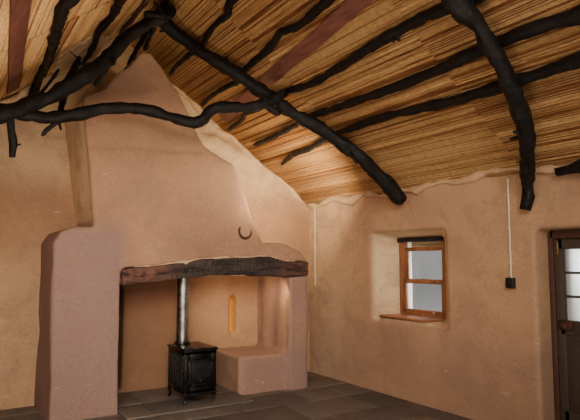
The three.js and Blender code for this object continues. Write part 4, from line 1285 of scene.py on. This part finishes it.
def build_ridge():
    bm = thatched("thatch_ridge", 0.035, 9)
    keep_within(bm, *CAD_BOX)
    piece("thatch_ridge_roll", bm, "thatch_ridge thatch_ends", "thatch", "thatch_ridge")
    rng = random.Random(41)
    bm = bmesh.new()
    top = RIDGE + 0.3303 * TILT + 0.05
    stride = 0.42
    for side in (1, -1):
        up = slope_ways(side)[1]
        rows = [at(side * x, 0, top - 0.824 * (x - 0.11)) - up * 0.006 for x in (0.17, 0.49)]
        for row in rows:
            start = NEAR_END + 0.02
            while start < VERGE - 0.05:
                end = min(start + rng.uniform(1.0, 1.5), VERGE - 0.02)
                places = [start + (end - start) * k / 8 for k in range(9)]
                waves = [0.006 * noise.noise(Vector((y * 2, side, 0))) for y in places]
                sweep(bm, [row + Vector((0, y, z)) for y, z in zip(places, waves)], [0.011] * 9, 7)
                start = end - 0.08 if end < VERGE - 0.021 else VERGE
        y = NEAR_END + 0.12
        while y < VERGE - 0.45:
            for a, b in (rows, rows[::-1]):
                rod(bm, a + along(y) + up * 0.008, b + along(y + stride) + up * 0.008, 0.008, 7)
            y += stride
    keep_within(bm, *CAD_BOX)
    bmesh.ops.recalc_face_normals(bm, faces=bm.faces)
    piece("ridge_hazel_rods", bm, "brown_pole", "thatch")


def build_chimney():
    bm = skinned(merged_copy("chimney_stack"), 0.022)
    undulate(bm, ((0.4, 0.012), (0.12, 0.006)), 12)
    second_finish(bm, lambda middle, normal: abs(middle.x) < 0.14 and abs(middle.y - 0.66) < 0.14)
    low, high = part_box("chimney_stack")
    play = Vector((0.02, 0.02, 0))
    keep_within(bm, low - play, high + play)
    piece("stack_limewashed", bm, "limewash flue", "limewash_render", "chimney_stack")
    bm = skinned(merged_copy("chimney_cap"), 0.015)
    undulate(bm, ((0.2, 0.004), (0.05, 0.002)), 13)
    shade(bm, tone=0.3)
    keep_within(bm, *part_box("chimney_cap"))
    piece("chimney_cap_slab", bm, "slab", "floor_stone", "chimney_cap")


# ---- window

def frame_bars(bm, x0, x1, low, high, inset, wide, ease=0.003):
    """Four bars round the outline of a box in the y and z plane, set in from it."""
    y0, y1, z0, z1 = low.y + inset, high.y - inset, low.z + inset, high.z - inset
    y2, y3 = y0 + wide * 0.5, y1 - wide * 0.5
    blocks(bm, (x0, x1, y0, y0 + wide, z0, z1, ease), (x0, x1, y1 - wide, y1, z0, z1, ease),
           (x0, x1, y2, y3, z0, z0 + wide, ease), (x0, x1, y2, y3, z1 - wide, z1, ease))


def build_window():
    low, high = node_span("window_frame")
    bm = bmesh.new()
    frame_bars(bm, low.x, high.x, low, high, 0.0, 0.045, 0.004)
    frame_bars(bm, low.x + 0.004, low.x + 0.018, low, high, 0.040, 0.016)
    piece("window_frame_bars", bm, "sash", "sash_wood", "window_frame", crisp=True)
    for name in ("upper_sash", "lower_sash"):
        low, high = node_span(name)
        x, middle, top = low.x, (low.y + high.y) / 2, high.z
        bm = bmesh.new()
        frame_bars(bm, x, high.x, low, high, 0.0, 0.040)
        frame_bars(bm, x + 0.006, high.x - 0.006, low, high, 0.034, 0.014)
        if name == "lower_sash":
            bars(bm, (x + 0.01, middle, (top, top + 0.012), 0.016, 20, 0.002))
            blocks(bm, (x + 0.002, x + 0.018, middle - 0.03, middle + 0.012, top + 0.010, top + 0.017, 0.002))
            for y in (low.y + 0.16, high.y - 0.16):
                bars(bm, ((x, x - 0.014), y, low.z + 0.02, 0.006, 12),
                     ((x - 0.012, x - 0.03), y, low.z + 0.02, 0.011, 14, 0.003))
        piece(f"{name}_bars", bm, "sash", "sash_wood", name, crisp=True)
    low, high = node_span("window_sill")
    bm = bmesh.new()
    blocks(bm, (low.x - 0.02, high.x, low.y - 0.02, high.y + 0.02, low.z, high.z, 0.008, 3))
    piece("window_sill_board", bm, "sash", "sash_wood", "window_sill", crisp=True)
    low, high = node_span("blind_roller")
    bm = bmesh.new()
    x, z = low.x + 0.020, high.z - 0.030
    bars(bm, (x, (low.y, high.y), z, 0.024, 28, 0.002),
         (x, (low.y + 0.01, high.y - 0.01), z - 0.021, 0.006, 12))
    for y in (low.y - 0.004, high.y + 0.001):
        blocks(bm, (low.x + 0.004, high.x, y, y + 0.003, z - 0.026, z + 0.028, 0.001))
    piece("blind_roll", bm, "cloth", "blind_cloth", "blind_roller", crisp=True)
    for name in ("upper_sash_glass", "lower_sash_glass", "door_glass"):
        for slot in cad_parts[name].material_slots:
            slot.material = finish("frosted" if name == "door_glass" else "clear")


# ---- door

# The post and the leaf: the face towards the room, the jamb's width and the axis of the hinges.
DOOR_FACE, JAMB = 2.9, 0.055
HINGE_X, HINGE_Y = 2.891, DOOR_NEAR + JAMB + 0.0045
KNUCKLE = 0.0445


def build_door_frame():
    """Posts, head, stops and the lower halves of the hinges."""
    x0, x1, near, far = DOOR_FACE, 3.01, DOOR_NEAR, DOOR_FAR
    x2, x3 = x0 + 0.052, x1 - 0.02
    y0, y1 = near + JAMB - 0.005, far - JAMB + 0.005
    bm = bmesh.new()
    blocks(bm, (x0, x1, near, near + JAMB, 0.03, 1.87, 0.004), (x0, x1, far - JAMB, far, 0.03, 1.87, 0.004),
           (x0, x1, near + 0.03, far - 0.03, 1.789, 1.87, 0.004), (x2, x3, y0, y0 + 0.02, 0.03, 1.80, 0.003),
           (x2, x3, y1 - 0.02, y1, 0.03, 1.80, 0.003), (x2, x3, y0, y1, 1.772, 1.80, 0.003))
    for z in (0.30, 1.45):
        bars(bm, (HINGE_X, HINGE_Y, (z, z + KNUCKLE), 0.009, 16, 0.001))
        blocks(bm, (x0 - 0.005, x0 + 0.001, HINGE_Y - 0.04, HINGE_Y - 0.001, z - 0.01, z + KNUCKLE, 0.001))
    piece("door_frame_posts", bm, "door_frame", "door_wood", "door_frame", crisp=True)


def build_door_leaf(y0, y1):
    """Two raised panels under a light with two glazing bars across and one down."""
    x0, x1 = DOOR_FACE, 2.945
    stile, sill, head, foot, top = 0.08, 1.05, 1.69, 0.045, 1.78
    middle = (y0 + y1) / 2
    bm = bmesh.new()
    for a, b in ((y0, y0 + stile), (y1 - stile, y1)):
        blocks(bm, (x0, x1, a, b, foot, top, 0.003))
    for a, b in ((foot, foot + 0.2), (sill - 0.13, sill), (head, top)):
        blocks(bm, (x0, x1 - 0.0006, y0 + stile * 0.5, y1 - stile * 0.5, a, b, 0.003))
    blocks(bm, (x0, x1 - 0.0009, middle - 0.045, middle + 0.045, foot + 0.1, sill - 0.06, 0.003),
           (x0 + 0.012, x1 - 0.012, y0 + stile * 0.6, y1 - stile * 0.6, foot + 0.15, sill - 0.08, 0.001))
    for a, b in ((y0 + stile + 0.03, middle - 0.075), (middle + 0.075, y1 - stile - 0.03)):
        blocks(bm, (x0 + 0.006, x1 - 0.006, a, b, foot + 0.24, sill - 0.17, 0.010, 3))
    third = (head - sill) / 3
    for z in (sill + third, sill + 2 * third):
        blocks(bm, (x0 + 0.002, x1 - 0.002, y0 + stile * 0.8, y1 - stile * 0.8, z - 0.011, z + 0.011, 0.004))
    blocks(bm, (x0 + 0.003, x1 - 0.003, middle - 0.011, middle + 0.011, sill - 0.02, head + 0.02, 0.004))
    for y in (y0 + stile - 0.004, y1 - stile - 0.010):
        blocks(bm, (x0 + 0.008, x1 - 0.008, y, y + 0.014, sill, head, 0.003))
    for z in (0.3455, 1.4955):
        bars(bm, (HINGE_X, HINGE_Y, (z, z + KNUCKLE), 0.009, 16, 0.001))
        blocks(bm, (x0 - 0.005, x0 + 0.001, HINGE_Y + 0.001, HINGE_Y + 0.04, z, z + 0.05, 0.001))
    piece("door_leaf_framed", bm, "door", "door_wood", "door_leaf", body="door", crisp=True)


def build_door_lock(y1):
    """The rim lock with its knob, and the bolt at the top."""
    bm = bmesh.new()
    blocks(bm, (2.878, 2.9, y1 - 0.16, y1 - 0.02, 0.962, 1.048, 0.004),
           (2.872, 2.88, y1 - 0.155, y1 - 0.025, 0.967, 1.043, 0.002))
    y, z = y1 - 0.11, 1.005
    bars(bm, ((2.88, 2.838), y, z, 0.009, 16), ((2.846, 2.822), y, z, 0.024, 24, 0.007),
         ((2.88, 2.868), y, z, 0.017, 20, 0.003), ((2.876, 2.868), y1 - 0.055, z, 0.010, 16, 0.002))
    for y in (y1 - 0.148, y1 - 0.032):
        for z in (0.974, 1.036):
            bars(bm, ((2.874, 2.869), y, z, 0.004, 10))
    piece("door_rim_lock", bm, "rust", "old_iron", "door_lock", body="door", crisp=True)
    bm = bmesh.new()
    y = y1 - 0.045
    bars(bm, (2.888, y, (1.64, 1.765), 0.006, 12, 0.001), ((2.888, 2.874), y, 1.68, 0.005, 10, 0.001))
    for z in (1.655, 1.70, 1.745):
        blocks(bm, (2.879, 2.900, y - 0.014, y + 0.014, z - 0.006, z + 0.006, 0.002))
    piece("door_top_bolt", bm, "brass", "old_iron", body="door", crisp=True)


def build_door():
    gap = JAMB + 0.009
    build_door_frame()
    build_door_leaf(DOOR_NEAR + gap, DOOR_FAR - gap)
    build_door_lock(DOOR_FAR - gap)


# ---- stove

# The stove's top plate, its middle, the flue's centre and the pin of its door.
STOVE_X0, STOVE_X1, STOVE_Y0, STOVE_Y1, STOVE_TOP = 0.390, 0.790, -1.0, -0.44, 0.620
STOVE_MIDDLE = 0.59
FLUE_X, FLUE_Y = 0.545, -0.52
PIN_X, PIN_Y = 0.437, -0.987


def taper(count, widths):
    """So many radii that pass evenly through the given widths."""
    radii = []
    for k in range(count):
        t = k / (count - 1) * (len(widths) - 1)
        n = min(int(t), len(widths) - 2)
        radii.append(widths[n] + (widths[n + 1] - widths[n]) * (t - n))
    return radii


def stove_box(bm):
    """The fire box with its open front, the two top plates and the ash lip."""
    x0, x1, y0, y1 = STOVE_X0 + 0.012, STOVE_X1 - 0.012, STOVE_Y0 + 0.030, STOVE_Y1 - 0.012
    z0, z1, wall = 0.135, 0.595, 0.03
    left, right = STOVE_MIDDLE - 0.12, STOVE_MIDDLE + 0.12
    blocks(bm, (x0, x0 + wall, y0 + wall, y1, z0, z1, 0.004), (x1 - wall, x1, y0 + wall, y1, z0, z1, 0.004),
           (x0, x1, y1 - wall, y1, z0, z1, 0.004), (x0, x1, y0, y1, z0, 0.170, 0.004),
           (x0, x1, y0, y1, 0.555, z1, 0.004), (x0, left, y0, y0 + wall, z0, z1, 0.004),
           (right, x1, y0, y0 + wall, z0, z1, 0.004),
           (left - 0.01, right + 0.01, y0, y0 + wall, z0, 0.235, 0.003),
           (left - 0.01, right + 0.01, y0, y0 + wall, 0.475, z1, 0.003))
    for side, x in ((-1, x0), (1, x1)):
        a, b = sorted((x, x + side * 0.007))
        near, far = y0 + 0.03, y1 - 0.03
        blocks(bm, (a, b, near, far, 0.165, 0.190, 0.003), (a, b, near, far, 0.545, 0.570, 0.003),
               (a, b, near, near + 0.025, 0.165, 0.570, 0.003), (a, b, far - 0.025, far, 0.165, 0.570, 0.003))
        for k in range(1, 9):
            bars(bm, (x, near + (far - near) * k / 9, (0.20, 0.535), 0.006, 8))
    x0, x1, y0, y1 = STOVE_X0, STOVE_X1, STOVE_Y0, STOVE_Y1
    blocks(bm, (x0, x1, y0 + 0.010, y1, 0.595, STOVE_TOP, 0.008, 3),
           (x0 + 0.006, x1 - 0.006, y0 + 0.016, y1 - 0.006, 0.583, 0.598, 0.004),
           (x0 + 0.040, x1 - 0.040, y0 - 0.060, y0 + 0.040, 0.135, 0.157, 0.008, 4),
           (x0 + 0.060, x1 - 0.060, y0 - 0.060, y0 + 0.040, 0.126, 0.140, 0.005, 3))


def stove_legs(bm):
    """Four curved legs that taper to their ankles."""
    ground = 0.026
    for x, turn in ((STOVE_X0 + 0.034, -1), (STOVE_X1 - 0.034, 1)):
        for y, back in ((STOVE_Y0 + 0.052, -1), (STOVE_Y1 - 0.034, 1)):
            offsets = ((0, 0, 0.15), (0.006, 0.006, 0.11), (-0.002, 0, 0.07), (0.004, 0.006, 0.04),
                       (0.008, 0.010, ground))
            route = smooth_route([at(x + turn * dx, y + back * dy, z) for dx, dy, z in offsets], 0.012)
            sweep(bm, route, taper(len(route), (0.026, 0.014, 0.018)), 12)


def build_stove():
    bm = bmesh.new()
    stove_box(bm)
    stove_legs(bm)
    rod(bm, at(FLUE_X, FLUE_Y, 0.612), at(FLUE_X, FLUE_Y, 0.652), 0.084, 40, 0.079, ease=0.003)
    for k in range(4):
        angle = math.pi / 4 + k * math.pi / 2
        x, y = FLUE_X + 0.086 * math.cos(angle), FLUE_Y + 0.086 * math.sin(angle)
        bars(bm, (x, y, (0.618, 0.640), 0.014, 14, 0.003))
    for z in (0.232, 0.420):
        bars(bm, (PIN_X, PIN_Y, (z, z + 0.028), 0.007, 14, 0.001))
        blocks(bm, (PIN_X - 0.009, PIN_X + 0.007, PIN_Y, -0.965, z, z + 0.028, 0.002))
    piece("stove_castings", bm, "iron", "stove_iron", "stove_body", crisp=True)
    build_stove_door()
    build_flue_pipe()


def build_stove_door():
    """The door with its rim, ribs, air rosette and knob."""
    x0, x1, face = 0.445, 0.735, -0.976
    bm = bmesh.new()
    blocks(bm, (x0, x1, face - 0.018, face, 0.21, 0.50, 0.005, 3))
    for z in (0.218, 0.470):
        blocks(bm, (x0 + 0.008, x1 - 0.008, face - 0.024, face - 0.010, z, z + 0.022, 0.003))
    for x in (x0 + 0.008, x1 - 0.030):
        blocks(bm, (x, x + 0.022, face - 0.024, face - 0.010, 0.218, 0.492, 0.003))
    for k in range(7):
        bars(bm, (x0 + 0.052 + k * (x1 - x0 - 0.104) / 6, face - 0.018, (0.30, 0.462), 0.0055, 8))
    bars(bm, (STOVE_MIDDLE, (face - 0.014, face - 0.026), 0.268, 0.026, 28, 0.003),
         (STOVE_MIDDLE, (face - 0.024, face - 0.036), 0.268, 0.008, 14, 0.002),
         (0.705, (face - 0.018, face - 0.050), 0.355, 0.007, 14),
         (0.705, (face - 0.042, face - 0.060), 0.355, 0.016, 20, 0.005))
    for z in (0.2605, 0.4485):
        bars(bm, (PIN_X, PIN_Y, (z, z + 0.0275), 0.007, 14, 0.001))
        blocks(bm, (PIN_X, x0 + 0.004, PIN_Y - 0.005, PIN_Y + 0.005, z, z + 0.0275, 0.001))
    piece("stove_door_casting", bm, "iron", "stove_iron", "stove_door", body="stove_door", crisp=True)


def build_flue_pipe():
    """The zinc pipe with its two seams and the welt down its side."""
    bm = bmesh.new()
    bars(bm, (FLUE_X, FLUE_Y, (0.625, 2.12), 0.0715, 56))
    for z in (0.672, 1.33):
        bars(bm, (FLUE_X, FLUE_Y, (z, z + 0.012), 0.0738, 56, 0.004))
    middle = at(FLUE_X, FLUE_Y, 0)
    turn = Matrix.Rotation(math.radians(70), 4, "Z")
    turn = Matrix.Translation(middle) @ turn @ Matrix.Translation(-middle)
    low, high = Vector((-0.004, -0.0732, 0.65)), Vector((0.004, -0.068, 2.11))
    block(bm, middle + low, middle + high, 0.001, turn=turn)
    piece("flue_pipe_zinc", bm, "zinc", "flue_zinc", "flue_pipe", crisp=True)


# ---- small fixtures

def build_horseshoe():
    """A flat, open ring, wider at its toe, with four nails."""
    bm = bmesh.new()
    centre = at(1.19, -0.855, 1.945)
    points = []
    for k in range(25):
        angle = math.radians(30 + 300 * k / 24 + 90) + math.radians(28)
        radius = 0.078 + 0.006 * math.sin(k / 24 * math.pi)
        points.append(centre + Vector((radius * math.cos(angle), 0, radius * math.sin(angle) * 1.08)))
    sweep(bm, points, [0.0185 - 0.0045 * abs(k - 12) / 12 for k in range(25)], 10)
    bmesh.ops.scale(bm, vec=(1, 0.32, 1), space=Matrix.Translation(-centre), verts=bm.verts)
    for k in (4, 7, 17, 20):
        p = points[k] - Vector((0, 0.004, 0))
        rod(bm, p, p - Vector((0, 0.003, 0)), 0.0035, 8)
    bmesh.ops.recalc_face_normals(bm, faces=bm.faces)
    piece("horseshoe_forged", bm, "rust", "old_iron", "horseshoe")


def build_fixtures():
    build_horseshoe()
    low, high = node_span("switch_box")
    x, y, z = low.x, (low.y + high.y) / 2, (low.z + high.z) / 2
    bm = bmesh.new()
    blocks(bm, (x + 0.003, high.x, low.y, high.y, low.z, high.z, 0.005, 3),
           (x, x + 0.004, y - 0.006, y + 0.006, z - 0.010, z + 0.012, 0.002))
    bars(bm, ((x + 0.004, x - 0.001), y, z, 0.020, 24, 0.002))
    for screw in (z - 0.04, z + 0.04):
        bars(bm, ((x + 0.005, x + 0.001), y, screw, 0.004, 10))
    piece("switch_box_cover", bm, "black", "black_plastic", "switch_box", crisp=True)
    low, high = node_span("switch_conduit")
    x, y = high.x, (low.y + high.y) / 2
    bm = bmesh.new()
    bars(bm, (x - 0.008, y, (low.z - 0.01, high.z), 0.0085, 14))
    for z in (1.56, 1.9, 2.22):
        blocks(bm, (x - 0.019, x, y - 0.013, y + 0.013, z - 0.007, z + 0.007, 0.003))
    piece("switch_conduit_pipe", bm, "cream", "cream_paint", "switch_conduit", crisp=True)
    bm = bmesh.new()
    bars(bm, (2.688, -0.16, (1.24, 2.42), 0.010, 14))
    for z in (1.35, 1.8, 2.25):
        blocks(bm, (2.678, 2.700, -0.175, -0.145, z - 0.007, z + 0.007, 0.003))
    piece("corner_conduit_pipe", bm, "cream", "cream_paint", crisp=True)


# ---- stage

# Each light: its place and target, its size, its power in watts, its colour and its spread in degrees.
LIGHTS = {
    "key_light": ((-2.6, -8.2, 3.6), (0.3, -0.9, 1.8), (3.0, 2.4), 135, (1.0, 0.90, 0.77), 80),
    "roof_fill": ((-0.6, -4.2, 0.6), (0.3, -1.4, 3.9), (2.4, 2.0), 55, (1.0, 0.86, 0.70), 180),
    "window_fill": ((5.2, -1.9, 2.0), (2.7, -1.9, 1.4), (1.4, 1.4), 260, (0.96, 0.98, 1.0), 180),
    "hearth_fill": ((1.35, -0.74, 1.22), (1.5, 0.0, 0.85), (0.9, 0.12), 5, (1.0, 0.66, 0.36), 180),
    "gable_fill": ((-1.7, -2.6, 1.9), (-0.5, 0.2, 3.8), (0.9, 0.7), 24, (1.0, 0.84, 0.66), 180),
    "corner_glow": ((1.75, -1.2, 2.3), (1.75, -0.3, 3.0), (0.7, 0.4), 34, (1.0, 0.82, 0.56), 180),
    "outside_key": ((9, -7, 9), (0, 0, 2), (5, 5), 1100, (1, 1, 1), 180),
    "outside_fill": ((-9, 8, 8), (0, 0, 2), (6, 6), 700, (1, 1, 1), 180),
}


def soft_light(name, place, target, size, power, colour, spread):
    """A soft rectangular light in building metres that the camera doesn't see."""
    light = bpy.data.lights.new(name, "AREA")
    light.shape = "RECTANGLE"
    light.size, light.size_y = size
    light.energy = power
    light.color = colour
    light.spread = math.radians(spread)
    lamp = placed(name, light)
    lamp.location = at(*place)
    lamp.rotation_euler = (at(*target) - lamp.location).to_track_quat("-Z", "Y").to_euler()
    lamp.visible_camera = False


def build_stage():
    sizes = bpy.context.scene.cottage
    bm = bmesh.new()
    bmesh.ops.create_grid(bm, x_segments=1, y_segments=1, size=30)
    ground = placed("studio_floor", mesh_of("studio_floor", bm))
    ground.location.z = -0.002
    f = Finish("studio_floor", 0.9)
    ground.data.materials.append(f.done(f.mix(f.patches(0.3, 0.7, 2.0, 3.0), grey(0.72), grey(0.76))))
    world = bpy.data.worlds.new("studio")
    world.use_nodes = True
    background = world.node_tree.nodes["Background"].inputs
    background["Color"].default_value = (1.0, 0.98, 0.95, 1)
    background["Strength"].default_value = sizes.daylight
    bpy.context.scene.world = world
    for name, settings in LIGHTS.items():
        soft_light(name, *settings)
    lens = bpy.data.cameras.new("camera")
    lens.sensor_width = 36.0
    lens.lens = sizes.lens
    lens.clip_end = 200
    camera = placed("camera", lens)
    camera.location = at(-1.95, -6.9, 1.58)
    camera.rotation_euler = (math.radians(90 + 5.2), 0, math.radians(-32))
    bpy.context.scene.camera = camera


# ---- add-on

def tint(name, description, *screen):
    """A colour that a user may change, with its default as a screen colour."""
    return FloatVectorProperty(name=name, description=description, default=rgb(*screen)[:3], size=3,
                               subtype="COLOR")


class CottageSizes(bpy.types.PropertyGroup):
    """Sizes and colours of the cottage end that a user may change."""
    reed_width: FloatProperty(name="Reed width", description="Width of one reed of the lining",
                              default=0.0105, min=0.008, max=0.03, unit="LENGTH")
    stitch_gap: FloatProperty(name="Stitch gap", description="Distance between the threads in the reed",
                              default=0.105, min=0.05, max=0.5, unit="LENGTH")
    plaster: tint("Plaster", "Colour of the inside plaster", 184, 140, 102)
    limewash: tint("Limewash", "Colour of the outside walls", 226, 221, 206)
    reed: tint("Reed", "Colour of the lighter reeds", 196, 138, 80)
    thatch: tint("Thatch", "Colour of the thatch", 168, 146, 104)
    door: tint("Door", "Colour of the door's paint", 66, 54, 46)
    lens: FloatProperty(name="Lens", description="Focal length of the camera",
                        default=35.007, min=15, max=120, unit="CAMERA")
    daylight: FloatProperty(name="Daylight", description="Strength of the light from all round",
                            default=0.38, min=0.0, max=5.0)


def operator(name, label, text, *builders):
    """An operator class that runs the builders of one group of pieces."""
    def execute(self, context):
        for build in builders:
            build()
        return {"FINISHED"}
    return type(f"COTTAGE_OT_{name}", (bpy.types.Operator,),
                {"bl_idname": f"cottage.{name}", "bl_label": label, "__doc__": text, "execute": execute})


GROUPS = (
    operator("stage", "Stage", "Sets the floor, the light and the camera", build_stage),
    operator("walls", "Walls", "Plasters the gable, the front wall and the back wall",
             build_walls, build_lips),
    operator("floor", "Floor", "Lays the flagstones, the hearthstones and the threshold", build_floor),
    operator("hearth", "Hearth", "Plasters the breast, the pier, the jamb and the bench, and hews the lintel",
             build_masonry, build_lintel),
    operator("poles", "Poles", "Makes the ridge pole, the purlins and the trusses",
             build_poles, build_trusses, build_apex_pegs, build_wall_timber),
    operator("boards", "Boards", "Saws the two long roof boards", build_boards),
    operator("reed", "Reed lining", "Lays the reed under the thatch", build_reed),
    operator("thatch", "Thatch", "Lays the thatch and its ridge", build_thatch, build_ridge),
    operator("chimney", "Chimney", "Builds the stack and its cap", build_chimney),
    operator("window", "Window", "Makes the sash window, its sill and the blind's roller", build_window),
    operator("door", "Door", "Makes the door, its frame, lock and bolt", build_door),
    operator("stove", "Stove", "Casts the stove, its door and the flue pipe", build_stove),
    operator("fixtures", "Fixtures", "Makes the horseshoe, the switch and the conduits", build_fixtures),
)


class COTTAGE_PT_panel(bpy.types.Panel):
    """Lists the sizes and the operators."""
    bl_idname = "COTTAGE_PT_panel"
    bl_label = "Thatched cottage"
    bl_space_type = "VIEW_3D"
    bl_region_type = "UI"
    bl_category = "Cottage"

    def draw(self, context):
        for name in CottageSizes.__annotations__:
            self.layout.prop(context.scene.cottage, name)
        for group in GROUPS:
            self.layout.operator(group.bl_idname)


CLASSES = (CottageSizes, *GROUPS, COTTAGE_PT_panel)


def register():
    for cls in CLASSES:
        bpy.utils.register_class(cls)
    bpy.types.Scene.cottage = PointerProperty(type=CottageSizes)


def unregister():
    del bpy.types.Scene.cottage
    for cls in reversed(CLASSES):
        bpy.utils.unregister_class(cls)


def main():
    register()
    for group in GROUPS:
        getattr(bpy.ops.cottage, group.bl_idname.split(".")[1])()


if __name__ == "__main__":
    main()
